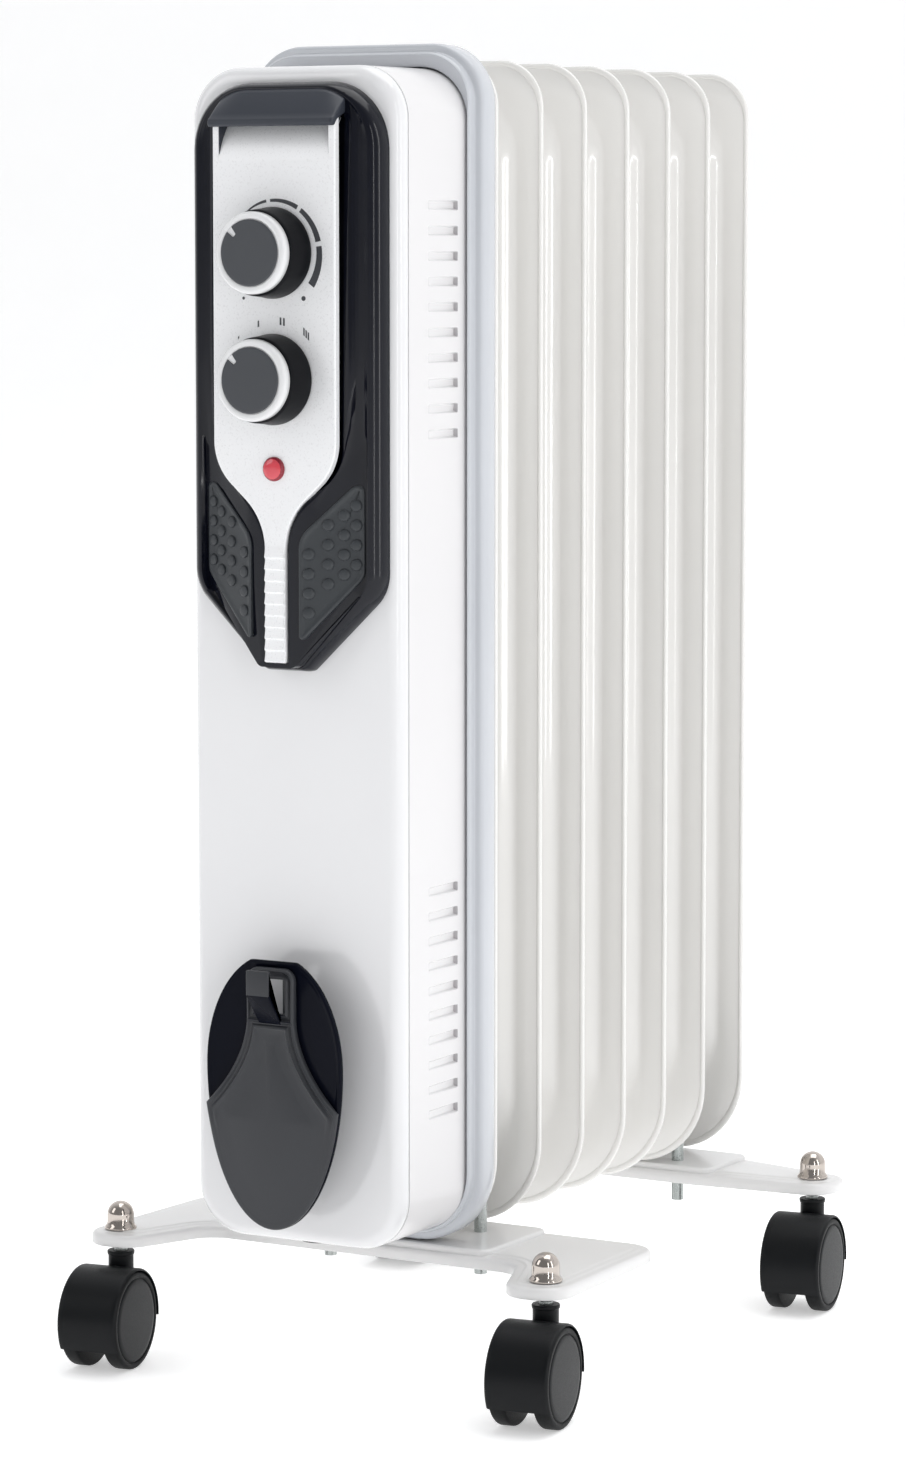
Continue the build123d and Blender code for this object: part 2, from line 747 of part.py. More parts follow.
with BuildPart() as winder_spool:
    with BuildSketch(facing(panel_front_y)):
        with Locations((0, (winder_core_bottom_z + winder_core_top_z) / 2)):
            RectangleRounded(2 * winder_core_half, winder_core_top_z - winder_core_bottom_z, 10)
    extrude(amount=winder_stand)
    with BuildSketch(facing(winder_back_y)):
        with BuildLine():
            EllipticalCenterArc(centre, winder_half_width, lower_axis, 180, arc_size=180)
            EllipticalCenterArc(centre, winder_half_width, upper_axis, 0, arc_size=crown_turn)
            Line((crown_half, winder_top_z), (-crown_half, winder_top_z))
            EllipticalCenterArc(centre, winder_half_width, upper_axis, 180 - crown_turn,
                                arc_size=crown_turn)
        make_face()
        with Locations((0, (slot_bottom_z + slot_top_z) / 2)):
            Rectangle(2 * slot_half, slot_top_z - slot_bottom_z, mode=Mode.SUBTRACT)
    extrude(amount=winder_plate)
    with BuildSketch(facing(panel_front_y)):
        with Locations(*winder_screw_spots):
            Circle(screw_radius)
    extrude(amount=screw_length, mode=Mode.SUBTRACT)
save(winder_spool, "winder_spool")

slot_top = slot_top_z + 1.2
with BuildPart() as winder_face:
    with BuildSketch(facing(winder_front_y)):
        with BuildLine():
            EllipticalCenterArc(centre, winder_half_width, lower_axis, 180 + flare_turn,
                                arc_size=180 - 2 * flare_turn)
            Bezier((flare_half, flare_z), (neck_half, (neck_foot_z + flare_z) / 2),
                   (neck_half, neck_foot_z))
            Polyline((neck_half, neck_foot_z), (neck_half, winder_top_z - winder_crown),
                     (-neck_half, winder_top_z - winder_crown), (-neck_half, neck_foot_z))
            Bezier((-neck_half, neck_foot_z), (-neck_half, (neck_foot_z + flare_z) / 2),
                   (-flare_half, flare_z))
        make_face()
        with Locations((0, (slot_bottom_z + slot_top_z) / 2)):
            Rectangle(2 * slot_half, slot_top_z - slot_bottom_z, mode=Mode.SUBTRACT)
    extrude(amount=winder_face_sheet)
    hook_y = winder_face_y - hook_reach
    with BuildSketch(side(-hook_half)):
        with BuildLine():
            Polyline((winder_front_y, slot_bottom_z), (winder_front_y, slot_bottom_z - hook_sheet),
                     (winder_face_y, slot_bottom_z - hook_sheet), (hook_y, hook_rise_z - hook_sheet),
                     (hook_y, slot_top), (hook_y + hook_sheet, slot_top),
                     (hook_y + hook_sheet, hook_rise_z - hook_sheet / 2),
                     (winder_face_y, slot_bottom_z + hook_sheet / 2),
                     (winder_face_y, slot_bottom_z), close=True)
        make_face()
    extrude(amount=2 * hook_half)
save(winder_face, "winder_face")

with BuildPart() as winder_screws:
    for spot in winder_screw_spots:
        with BuildSketch(facing(panel_front_y + panel_wall)):
            with Locations(spot):
                Circle(screw_radius)
        extrude(amount=screw_length + panel_wall - 1)
        with BuildSketch(facing(panel_front_y + panel_wall)):
            with Locations(spot):
                Circle(screw_head_radius)
        extrude(amount=-screw_head)
save(winder_screws, "winder_screws")

# ---------------------------------------------------------------- cord inlet and wiring
with BuildPart() as cord_gland:
    with Locations((0, gland_y, cover_bottom_z)):
        Cylinder(gland_flange_radius, gland_flange,
                 align=(Align.CENTER, Align.CENTER, Align.MAX))
        Cylinder(gland_body_radius, gland_length - gland_flange,
                 align=(Align.CENTER, Align.CENTER, Align.MIN))
    with Locations((0, gland_y, cover_bottom_z)):
        Cylinder(gland_bore_radius, 3 * gland_length, mode=Mode.SUBTRACT)
save(cord_gland, "cord_gland")

block_back_y = panel_front_y + panel_wall
with BuildPart() as terminal_block:
    with Locations((0, block_back_y + block_depth / 2, block_z)):
        Box(block_width, block_depth, block_height)
    with BuildSketch(facing(block_back_y + block_depth)):
        with GridLocations(block_width / 3, 1, 3, 1):
            with Locations((0, block_z)):
                Circle(wire_radius)
    extrude(amount=block_depth / 2, mode=Mode.SUBTRACT)
save(terminal_block, "terminal_block")

block_wire_y = block_back_y + 0.7 * block_depth
panel_wire_y = block_back_y + wire_radius + running_gap
run_y = flange_y - 27
switch_back_y = bezel_inside_y + switch_depth
block_top_z = block_z + block_height / 2
switch_foot_z = mode_z - switch_width / 2
tube_z = collector_low_z + element_spread
with BuildPart() as wiring:
    with BuildLine(side(-wire_set)) as supply:
        FilletPolyline((block_wire_y, block_top_z), (block_wire_y, switch_foot_z - 70),
                       (panel_wire_y, switch_foot_z - 30), (panel_wire_y, switch_foot_z),
                       radius=wire_bend)
    with BuildSketch(Plane(origin=(-wire_set, block_wire_y, block_top_z), z_dir=(0, 0, 1))) as start:
        Circle(wire_radius)
    sweep(start.sketch, path=supply.wire())
    with Locations((-wire_set, panel_wire_y, (mode_z + thermostat_z) / 2)):
        Cylinder(wire_radius, thermostat_z - mode_z - switch_width)
    with BuildLine(side(element_spread)) as feed:
        FilletPolyline((switch_back_y, thermostat_z), (run_y, thermostat_z), (run_y, tube_z),
                       (element_front_y, tube_z), radius=wire_bend)
    with BuildSketch(Plane(origin=(element_spread, switch_back_y, thermostat_z),
                           z_dir=(0, 1, 0))) as start:
        Circle(wire_radius)
    sweep(start.sketch, path=feed.wire())
save(wiring, "wiring")


# ---------------------------------------------------------------- feet and their fixings
def touch_point(root, lobe, radius, hand):
    """Point where a straight line from a root touches the circle of a lobe on one hand."""
    away_x, away_y = lobe[0] - root[0], lobe[1] - root[1]
    reach = hypot(away_x, away_y)
    heading = atan2(away_y, away_x) + hand * asin(radius / reach)
    length = sqrt(reach * reach - radius * radius)
    return (root[0] + length * cos(heading), root[1] + length * sin(heading))


def lobe_arm(inner_root, outer_root, lobe, radius):
    """Arm whose two straight sides run from the bar to touch a round lobe."""
    hand = 1 if lobe[0] > 0 else -1
    inner_touch = touch_point(inner_root, lobe, radius, -hand)
    outer_touch = touch_point(outer_root, lobe, radius, hand)
    with BuildSketch() as face:
        with BuildLine():
            Polyline(inner_touch, inner_root, outer_root, outer_touch, lobe, close=True)
        make_face()
        with Locations(lobe):
            Circle(radius)
    return face.sketch


def foot_outline(near_y, far_y, stem_y, bar_half, roots, inset):
    """Bar under the fins, drawn out at both ends to a round lobe about each castor stem."""
    with BuildSketch() as face:
        with Locations((0, (near_y + far_y) / 2)):
            RectangleRounded(2 * (bar_half - inset), far_y - near_y - 2 * inset,
                             foot_corner - inset)
        for sign in (-1, 1):
            inner, outer = [(sign * x, y) for x, y in roots]
            add(lobe_arm(inner, outer, (sign * track / 2, stem_y), lobe_radius - inset))
    return face.sketch


def make_foot(near_y, far_y, stem_y, bolt_y, bar_half, root_spots):
    """Pressed steel channel, open below, with a raised platform under the fins."""
    outline = foot_outline(near_y, far_y, stem_y, bar_half, root_spots(0), 0)
    hollow = foot_outline(near_y, far_y, stem_y, bar_half, root_spots(foot_sheet), foot_sheet)
    low = (Align.CENTER, Align.CENTER, Align.MIN)
    middle_y = (near_y + far_y) / 2
    platform_depth = far_y - near_y - 2 * platform_inset
    with BuildPart() as foot:
        with BuildSketch(Plane.XY.offset(foot_bottom_z)):
            add(outline)
        extrude(amount=foot_rim_height)
        fillet(foot.faces().sort_by(Axis.Z)[-1].outer_wire().edges(), foot_edge)
        with Locations((0, middle_y, foot_top_z - foot_sheet)):
            Box(2 * platform_half, platform_depth, foot_raise + foot_sheet, align=low)
        with BuildSketch(Plane.XY.offset(foot_bottom_z)):
            add(hollow)
        extrude(amount=foot_rim_height - foot_sheet, mode=Mode.SUBTRACT)
        with Locations((0, middle_y, foot_bottom_z)):
            Box(2 * (platform_half - foot_sheet), platform_depth - 2 * foot_sheet,
                foot_rim_height + foot_raise - foot_sheet, align=low, mode=Mode.SUBTRACT)
        with Locations((track / 2, stem_y, foot_top_z), (-track / 2, stem_y, foot_top_z)):
            Cylinder(stem_radius + hole_gap, 4 * foot_rim_height, mode=Mode.SUBTRACT)
        with Locations((u_bolt_half_span, bolt_y, foot_top_z),
                       (-u_bolt_half_span, bolt_y, foot_top_z)):
            Cylinder(u_bolt_radius + hole_gap, 4 * foot_rim_height, mode=Mode.SUBTRACT)
    return foot


def make_u_bolt(bolt_y):
    """Round bar bent over the lower collector, its two legs down through the foot."""
    with BuildPart() as bolt:
        with BuildLine(facing(bolt_y)) as path:
            FilletPolyline((-u_bolt_half_span, u_bolt_tip_z), (-u_bolt_half_span, u_bolt_top_z),
                           (u_bolt_half_span, u_bolt_top_z), (u_bolt_half_span, u_bolt_tip_z),
                           radius=u_bolt_bend)
        with BuildSketch(Plane(origin=(-u_bolt_half_span, bolt_y, u_bolt_tip_z),
                               z_dir=(0, 0, 1))) as section:
            Circle(u_bolt_radius)
        sweep(section.sketch, path=path.wire())
    return bolt


front_near_y = fin_y[0] - front_foot_lead
front_far_y = fin_y[1] + foot_tail
rear_near_y = fin_y[-2] - rear_foot_lead
rear_far_y = fin_y[-1] + foot_tail


def front_roots(inset):
    """Inner and outer root of a front arm, on the bar's near edge and its end."""
    return [(front_arm_inner + inset, front_near_y + inset),
            (front_bar_half - inset, (front_near_y + front_far_y) / 2)]


def rear_roots(inset):
    """The rear foot has no arms: the whole bar narrows to its lobes."""
    return [(rear_bar_half - foot_corner, rear_near_y + inset),
            (rear_bar_half - foot_corner, rear_far_y - inset)]


front_foot = make_foot(front_near_y, front_far_y, -wheel_base / 2, front_bolt_y,
                       front_bar_half, front_roots)
rear_foot = make_foot(rear_near_y, rear_far_y, wheel_base / 2, rear_bolt_y,
                      rear_bar_half, rear_roots)
save(front_foot, "front_foot")
save(rear_foot, "rear_foot")
save(make_u_bolt(front_bolt_y), "front_u_bolt")
save(make_u_bolt(rear_bolt_y), "rear_u_bolt")

nut_top_z = fin_bottom_z - foot_sheet
with BuildPart() as wing_nuts:
    for bolt_y in (front_bolt_y, rear_bolt_y):
        for sign in (-1, 1):
            with Locations((sign * u_bolt_half_span, bolt_y, nut_top_z)):
                Cylinder(wing_hub_radius, wing_hub_height,
                         align=(Align.CENTER, Align.CENTER, Align.MAX))
                Box(2 * wing_span, wing_sheet, wing_hub_height,
                    align=(Align.CENTER, Align.CENTER, Align.MAX))
                Cylinder(u_bolt_radius, 4 * wing_hub_height, mode=Mode.SUBTRACT)
save(wing_nuts, "wing_nuts")

stem_top_z = foot_top_z + cap_nut_height - cap_flange
with BuildPart() as castor_stems:
    for x, y in castors.values():
        with Locations((x, y, stem_bottom_z)):
            Cylinder(stem_radius, stem_top_z - stem_bottom_z,
                     align=(Align.CENTER, Align.CENTER, Align.MIN))
        with Locations((x, y, foot_top_z - foot_sheet)):
            Cylinder(stem_shoulder_radius, stem_shoulder,
                     align=(Align.CENTER, Align.CENTER, Align.MAX))
save(castor_stems, "castor_stems")

dome_z = foot_top_z + cap_nut_height - cap_nut_radius
with BuildPart() as cap_nuts:
    for x, y in castors.values():
        with Locations((x, y, foot_top_z)):
            Cylinder(cap_flange_radius, cap_flange,
                     align=(Align.CENTER, Align.CENTER, Align.MIN))
            Cylinder(cap_nut_radius, dome_z - foot_top_z,
                     align=(Align.CENTER, Align.CENTER, Align.MIN))
        with Locations((x, y, dome_z)):
            Sphere(cap_nut_radius)
        with Locations((x, y, foot_top_z)):
            Cylinder(stem_radius, stem_top_z - foot_top_z,
                     align=(Align.CENTER, Align.CENTER, Align.MIN), mode=Mode.SUBTRACT)
save(cap_nuts, "cap_nuts")

# ---------------------------------------------------------------- castors
shroud_radius = wheel_radius + wheel_gap + shroud_wall
well_depth = wheel_width + wheel_gap
well_floor = castor_width / 2 - well_depth
turn = radians(castor_turn)


def castor_plane(x, y, along):
    """Plane across the axle, a distance along it: local x runs back from the stem, local y up."""
    origin = (x + along * cos(turn), y + along * sin(turn), 0)
    return Plane(origin=origin, x_dir=(-sin(turn), cos(turn), 0), z_dir=(cos(turn), sin(turn), 0))


def make_castor(tag, x, y):
    hub = (-castor_trail, wheel_radius)
    with BuildPart() as hood:
        with BuildSketch(castor_plane(x, y, 0)):
            with Locations(hub):
                Circle(shroud_radius)
        extrude(amount=castor_width / 2, both=True)
        for sign in (-1, 1):
            with BuildSketch(castor_plane(x, y, sign * well_floor)):
                with Locations(hub):
                    Circle(wheel_radius + wheel_gap)
            extrude(amount=sign * well_depth, mode=Mode.SUBTRACT)
        with Locations((x, y, wheel_radius)):
            Cylinder(swivel_collar_radius, swivel_collar_top_z - wheel_radius,
                     align=(Align.CENTER, Align.CENTER, Align.MIN))
        with BuildSketch(castor_plane(x, y, 0)):
            with BuildLine():
                far = castor_trail + 2 * shroud_radius
                Polyline((-far, -shroud_radius), (-far, shroud_front_z),
                         (-castor_trail, shroud_front_z),
                         (-castor_trail + shroud_radius, shroud_rear_z),
                         (far, shroud_rear_z), (far, -shroud_radius), close=True)
            make_face()
        extrude(amount=castor_width, both=True, mode=Mode.SUBTRACT)
        with BuildSketch(castor_plane(x, y, 0)):
            with Locations(hub):
                Circle(axle_radius + running_gap)
        extrude(amount=castor_width, both=True, mode=Mode.SUBTRACT)
        with Locations((x, y, stem_bottom_z - wheel_gap)):
            Cylinder(stem_radius + running_gap, swivel_collar_top_z,
                     align=(Align.CENTER, Align.CENTER, Align.MIN), mode=Mode.SUBTRACT)
    save(hood, f"castor_hood_{tag}")

    with BuildPart() as axle:
        with BuildSketch(castor_plane(x, y, 0)):
            with Locations(hub):
                Circle(axle_radius)
        extrude(amount=castor_width / 2 - axle_cover, both=True)
    save(axle, f"castor_axle_{tag}")

    with BuildPart() as wheels:
        for sign in (-1, 1):
            with BuildSketch(castor_plane(x, y, sign * (castor_width / 2 - wheel_width))):
                with Locations(hub):
                    Circle(wheel_radius)
            extrude(amount=sign * wheel_width)
        rims = wheels.edges().filter_by(GeomType.CIRCLE)
        fillet([e for e in rims if abs(e.radius - wheel_radius) < 0.01], wheel_edge)
        for sign in (-1, 1):
            with BuildSketch(castor_plane(x, y, sign * castor_width / 2)):
                with Locations(hub):
                    Circle(hubcap_radius + hubcap_step)
                    Circle(hubcap_radius, mode=Mode.SUBTRACT)
            extrude(amount=-sign * hubcap_step, mode=Mode.SUBTRACT)
        with BuildSketch(castor_plane(x, y, 0)):
            with Locations(hub):
                Circle(axle_radius)
        extrude(amount=castor_width / 2 - axle_cover, both=True, mode=Mode.SUBTRACT)
    save(wheels, f"castor_wheels_{tag}")


for tag, (x, y) in castors.items():
    make_castor(tag, x, y)
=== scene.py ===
"""Visible surfaces of an oil filled radiator heater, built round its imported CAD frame.

Every shape is a grid of points, or a profile carried round an outline, worked out in millimetres as
whole arrays and written into a mesh in metres.  The front faces -Y and +Z is up.
"""
import json
import math

import bmesh
import bpy
import numpy as np
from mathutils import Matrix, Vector


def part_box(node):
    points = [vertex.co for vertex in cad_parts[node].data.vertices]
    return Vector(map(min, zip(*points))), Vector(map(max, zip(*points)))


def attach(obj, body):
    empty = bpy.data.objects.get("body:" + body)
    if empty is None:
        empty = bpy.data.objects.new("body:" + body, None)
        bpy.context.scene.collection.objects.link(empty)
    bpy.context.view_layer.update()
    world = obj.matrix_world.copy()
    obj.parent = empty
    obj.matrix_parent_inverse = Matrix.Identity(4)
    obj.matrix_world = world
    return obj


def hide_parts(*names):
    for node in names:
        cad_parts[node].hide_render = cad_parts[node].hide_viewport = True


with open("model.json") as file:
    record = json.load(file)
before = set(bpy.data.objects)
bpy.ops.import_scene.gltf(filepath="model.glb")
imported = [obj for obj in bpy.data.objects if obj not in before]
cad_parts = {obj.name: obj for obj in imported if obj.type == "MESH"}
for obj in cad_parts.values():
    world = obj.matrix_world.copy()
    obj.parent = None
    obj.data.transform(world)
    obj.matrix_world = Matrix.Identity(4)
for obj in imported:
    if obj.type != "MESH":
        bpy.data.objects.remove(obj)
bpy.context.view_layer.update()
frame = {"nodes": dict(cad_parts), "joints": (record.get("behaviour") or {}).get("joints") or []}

MM = 0.001
CASTORS = ("fl", "fr", "rl", "rr")
COVER_RADIUS = 24.0     # corners of the cover, seen from the front
CONSOLE_LIFT = 17.0     # fascia above the front panel


# ---------------------------------------------------------------- grids, outlines and profiles
def span(name):
    """Lowest and highest corner of a CAD node, in millimetres."""
    low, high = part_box(name)
    return np.array(low) / MM, np.array(high) / MM


def grid(points, around=False, along=False):
    """Quads over an (m, n, 3) array of points, closed round its columns or its rows if asked."""
    m, n = points.shape[:2]
    index = np.arange(m * n).reshape(m, n)
    if around:
        index = np.concatenate([index, index[:, :1]], axis=1)
    if along:
        index = np.concatenate([index, index[:1]], axis=0)
    quads = np.stack([index[:-1, :-1], index[:-1, 1:], index[1:, 1:], index[1:, :-1]], axis=-1)
    return points.reshape(-1, 3), quads.reshape(-1, 4).tolist()


def capped(rings):
    """Closed skin through (m, n, 3) rings, with one flat face over the first and the last ring."""
    points, faces = grid(rings, around=True)
    m, n = rings.shape[:2]
    return points, faces + [list(range(n)), list(range((m - 1) * n, m * n))]


def rounded(corners, radii, inset=0.0, steps=10):
    """Closed outline through corners given anticlockwise, each rounded, drawn in by an inset.

    Every side moves in along its normal, so a corner moves along its mitre; an outward corner's
    radius shrinks by the inset and an inward one's grows.  A corner that doesn't turn spreads its
    points along the side, over its radius each way.
    """
    p = np.asarray(corners, float)
    radii = np.broadcast_to(np.asarray(radii, float), len(p))
    ahead = np.roll(p, -1, axis=0) - p
    ahead /= np.linalg.norm(ahead, axis=1, keepdims=True)
    behind = np.roll(ahead, 1, axis=0)
    normal_behind = np.stack([-behind[:, 1], behind[:, 0]], axis=1)
    normal_ahead = np.stack([-ahead[:, 1], ahead[:, 0]], axis=1)
    mitre = (normal_behind + normal_ahead) / (1 + np.sum(normal_behind * normal_ahead, 1))[:, None]
    corner = p + inset * mitre
    turn = np.arctan2(behind[:, 0] * ahead[:, 1] - behind[:, 1] * ahead[:, 0],
                      np.sum(behind * ahead, axis=1))
    hand = np.where(turn < 0, -1.0, 1.0)
    radius = np.maximum(radii - hand * inset, 0.15)
    start = corner - behind * (radius * np.tan(np.abs(turn) / 2))[:, None]
    centre = start + normal_behind * (hand * radius)[:, None]
    arm = start - centre
    angle = turn[:, None] * np.linspace(0, 1, steps + 1)
    x = centre[:, :1] + arm[:, :1] * np.cos(angle) - arm[:, 1:] * np.sin(angle)
    y = centre[:, 1:] + arm[:, :1] * np.sin(angle) + arm[:, 1:] * np.cos(angle)
    spread = radii[:, None] * np.linspace(-1, 1, steps + 1)
    line = corner[:, None] + ahead[:, None] * spread[..., None]
    straight = (np.abs(turn) < 1e-6)[:, None, None]
    return np.where(straight, line, np.stack([x, y], axis=-1)).reshape(-1, 2)


def oblong(x0, x1, z0, z1):
    """Four corners of an oblong, anticlockwise from the lowest of both axes."""
    return [(x0, z0), (x1, z0), (x1, z1), (x0, z1)]


def drawn_in(outline, inset):
    """A smooth closed outline moved in along its point normals."""
    tangent = np.roll(outline, -1, axis=0) - np.roll(outline, 1, axis=0)
    tangent /= np.linalg.norm(tangent, axis=1, keepdims=True)
    return outline + inset * np.stack([-tangent[:, 1], tangent[:, 0]], axis=1)


def upright(outline, y):
    """An (x, z) outline stood up at depth y, which may differ from point to point."""
    return np.stack([outline[:, 0], np.broadcast_to(y, len(outline)), outline[:, 1]], axis=-1)


def level(outline, z):
    """An (x, y) outline laid flat at height z."""
    return np.stack([outline[:, 0], outline[:, 1], np.broadcast_to(z, len(outline))], axis=-1)


def sideways(outline, x):
    """A (y, z) outline in the plane across X."""
    return np.stack([np.broadcast_to(x, len(outline)), outline[:, 0], outline[:, 1]], axis=-1)


def carried(profile, outline, place):
    """Rings for the (inset, level) rows of a profile, each on its own outline."""
    return np.stack([place(outline(inset), height) for inset, height in profile])


def plate(low, high, edge, steps=5):
    """Profile of a flat plate from one level to another with both edges rounded to a quarter circle."""
    way = 1.0 if high > low else -1.0
    angle = np.linspace(0, math.pi / 2, steps + 1)
    first = np.stack([edge * (1 - np.sin(angle)), low + way * edge * (1 - np.cos(angle))], axis=1)
    last = np.stack([edge * (1 - np.cos(angle)), high - way * edge * (1 - np.sin(angle))], axis=1)
    rows = [[(edge + 0.5, low)], first.tolist(), last.tolist(), [(edge + 0.5, high)]]
    return [row for part in rows for row in part]


def turned(profile, centre, axis, across, segments=72):
    """Skin of a (radius, distance along the axis) profile turned about an axis through a centre."""
    profile = np.asarray(profile, float)
    axis, across = np.asarray(axis, float), np.asarray(across, float)
    other = np.cross(axis, across)
    angle = np.linspace(0, 2 * math.pi, segments, endpoint=False)
    wheel = np.cos(angle)[:, None] * across + np.sin(angle)[:, None] * other
    return grid(np.asarray(centre) + profile[:, :1, None] * wheel + profile[:, 1:, None] * axis,
                around=True)


def front_turned(profile, x, z, segments=72):
    """A (radius, y) profile turned about a line through (x, z) along Y."""
    return turned(profile, (x, 0, z), (0, 1, 0), (1, 0, 0), segments)


def copied(lot, shifts):
    """A skin repeated at a list of shifts."""
    points, faces = lot
    return [(points + np.asarray(shift), faces) for shift in shifts]


def piece(name, lots, finishes, body, stands_for=(), sharp=38.0, second=None):
    """Mesh of closed skins that rides on a body and stands for its CAD nodes.

    second, if given, says from the faces' centres in millimetres which take the second finish.
    """
    points, faces, count = [], [], 0
    for lot_points, lot_faces in lots:
        points.append(lot_points)
        faces += [[i + count for i in face] for face in lot_faces]
        count += len(lot_points)
    mesh = bpy.data.meshes.new(name)
    mesh.from_pydata((np.concatenate(points) * MM).tolist(), [], faces)
    work = bmesh.new()
    work.from_mesh(mesh)
    bmesh.ops.remove_doubles(work, verts=work.verts, dist=1e-6)
    bmesh.ops.dissolve_degenerate(work, edges=work.edges, dist=1e-7)
    bmesh.ops.recalc_face_normals(work, faces=work.faces)
    work.to_mesh(mesh)
    work.free()
    mesh.shade_smooth()
    mesh.set_sharp_from_angle(angle=math.radians(sharp))
    for finish in finishes:
        mesh.materials.append(finish)
    if second:
        centres = np.array([face.center for face in mesh.polygons]) / MM
        mesh.polygons.foreach_set("material_index", second(centres).astype(np.int32))
    obj = bpy.data.objects.new(name, mesh)
    bpy.context.scene.collection.objects.link(obj)
    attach(obj, body)
    if stands_for:
        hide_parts(*stands_for)
    return obj


# ---------------------------------------------------------------- shader groups and finishes
def new_group(name, inputs, outputs):
    """Shader node group with (name, kind, value) inputs and (name, kind) outputs."""
    group = bpy.data.node_groups.new(name, "ShaderNodeTree")
    for socket, kind, value in inputs:
        made = group.interface.new_socket(socket, in_out="INPUT", socket_type=kind)
        if value is not None:
            made.default_value = value
    for socket, kind in outputs:
        group.interface.new_socket(socket, in_out="OUTPUT", socket_type=kind)
    return group, group.nodes.new("NodeGroupInput"), group.nodes.new("NodeGroupOutput")


def node(tree, kind, links=(), **settings):
    """Adds a node; settings are its properties, links are (socket, source socket or value)."""
    made = tree.nodes.new(kind)
    for key, value in settings.items():
        setattr(made, key, value)
    for socket, source in links:
        if isinstance(source, bpy.types.NodeSocket):
            tree.links.new(source, made.inputs[socket])
        else:
            made.inputs[socket].default_value = source
    return made


def grain_group():
    """Noise at a given size: Height for a bump, and Mask from 0 to 1 for colour and roughness."""
    group, start, end = new_group(
        "surface_grain", [("Size", "NodeSocketFloat", 900.0), ("Detail", "NodeSocketFloat", 3.0)],
        [("Height", "NodeSocketFloat"), ("Mask", "NodeSocketFloat")])
    place = node(group, "ShaderNodeTexCoord")
    noise = node(group, "ShaderNodeTexNoise", [("Vector", place.outputs["Object"]),
                                               ("Scale", start.outputs["Size"]),
                                               ("Detail", start.outputs["Detail"])])
    stretch = node(group, "ShaderNodeMapRange", [("Value", noise.outputs["Fac"]), ("From Min", 0.35),
                                                 ("From Max", 0.65)])
    group.links.new(noise.outputs["Fac"], end.inputs["Height"])
    group.links.new(stretch.outputs["Result"], end.inputs["Mask"])
    return group


def drift_group():
    """Slow change of tone over a surface: mixes two colours by broad noise."""
    group, start, end = new_group(
        "tone_drift", [("Colour", "NodeSocketColor", (0.8, 0.8, 0.8, 1)),
                       ("Other", "NodeSocketColor", (0.7, 0.7, 0.7, 1)),
                       ("Size", "NodeSocketFloat", 9.0)],
        [("Colour", "NodeSocketColor"), ("Mask", "NodeSocketFloat")])
    place = node(group, "ShaderNodeTexCoord")
    noise = node(group, "ShaderNodeTexNoise", [("Vector", place.outputs["Object"]),
                                               ("Scale", start.outputs["Size"]), ("Detail", 2.0)])
    mask = node(group, "ShaderNodeMapRange", [("Value", noise.outputs["Fac"]), ("From Min", 0.3),
                                              ("From Max", 0.7)])
    blend = node(group, "ShaderNodeMix", [(0, mask.outputs["Result"]), (6, start.outputs["Colour"]),
                                          (7, start.outputs["Other"])], data_type="RGBA")
    group.links.new(blend.outputs[2], end.inputs["Colour"])
    group.links.new(mask.outputs["Result"], end.inputs["Mask"])
    return group


GRAIN = grain_group()
DRIFT = drift_group()


def finish(name, colour, other, rough, rough_span=0.05, grain=900.0, depth=0.05, bump=0.00005,
           drift=9.0, **sockets):
    """Painted, moulded or plated finish: drifting tone, fine grain in the gloss and in the surface."""
    material = bpy.data.materials.new(name)
    material.use_nodes = True
    tree = material.node_tree
    shader = tree.nodes["Principled BSDF"]
    for socket, value in sockets.items():
        shader.inputs[socket.replace("_", " ")].default_value = value
    tone = node(tree, "ShaderNodeGroup", node_tree=DRIFT)
    tone.inputs["Colour"].default_value = (*colour, 1)
    tone.inputs["Other"].default_value = (*other, 1)
    tone.inputs["Size"].default_value = drift
    texture = node(tree, "ShaderNodeGroup", node_tree=GRAIN)
    texture.inputs["Size"].default_value = grain
    gloss = node(tree, "ShaderNodeMapRange", [("Value", texture.outputs["Mask"]),
                                              ("To Min", max(rough - rough_span, 0.02)),
                                              ("To Max", rough + rough_span)])
    relief = node(tree, "ShaderNodeBump", [("Height", texture.outputs["Height"]),
                                           ("Strength", depth), ("Distance", bump)])
    tree.links.new(tone.outputs["Colour"], shader.inputs["Base Color"])
    tree.links.new(gloss.outputs["Result"], shader.inputs["Roughness"])
    tree.links.new(relief.outputs["Normal"], shader.inputs["Normal"])
    return material


FIN_PAINT = finish("fin_enamel", (0.87, 0.86, 0.838), (0.85, 0.84, 0.818), 0.22, 0.006, grain=240,
                   depth=0.04, Coat_Weight=0.8, Coat_Roughness=0.07)
COVER_PAINT = finish("cover_enamel", (0.84, 0.84, 0.85), (0.82, 0.82, 0.832), 0.18, 0.006, grain=220,
                     depth=0.04, Coat_Weight=0.7, Coat_Roughness=0.05)
SHELL_PAINT = finish("side_enamel", (0.785, 0.775, 0.78), (0.765, 0.755, 0.762), 0.26, 0.006, grain=220,
                     depth=0.04, Coat_Weight=0.4, Coat_Roughness=0.1)
FRAME_PAINT = finish("frame_enamel", (0.585, 0.605, 0.64), (0.55, 0.57, 0.605), 0.26, 0.006, grain=240,
                     depth=0.04, Coat_Weight=0.5, Coat_Roughness=0.1)
FOOT_PAINT = finish("foot_enamel", (0.80, 0.795, 0.79), (0.775, 0.77, 0.767), 0.28, 0.006, grain=240,
                    depth=0.04, Coat_Weight=0.4, Coat_Roughness=0.1)
# grey painted shade for the small step at each louvre's rear end
LOUVRE_END_SHADE = finish("louvre_end_painted_shade", (0.52, 0.50, 0.515), (0.46, 0.45, 0.46), 0.6)
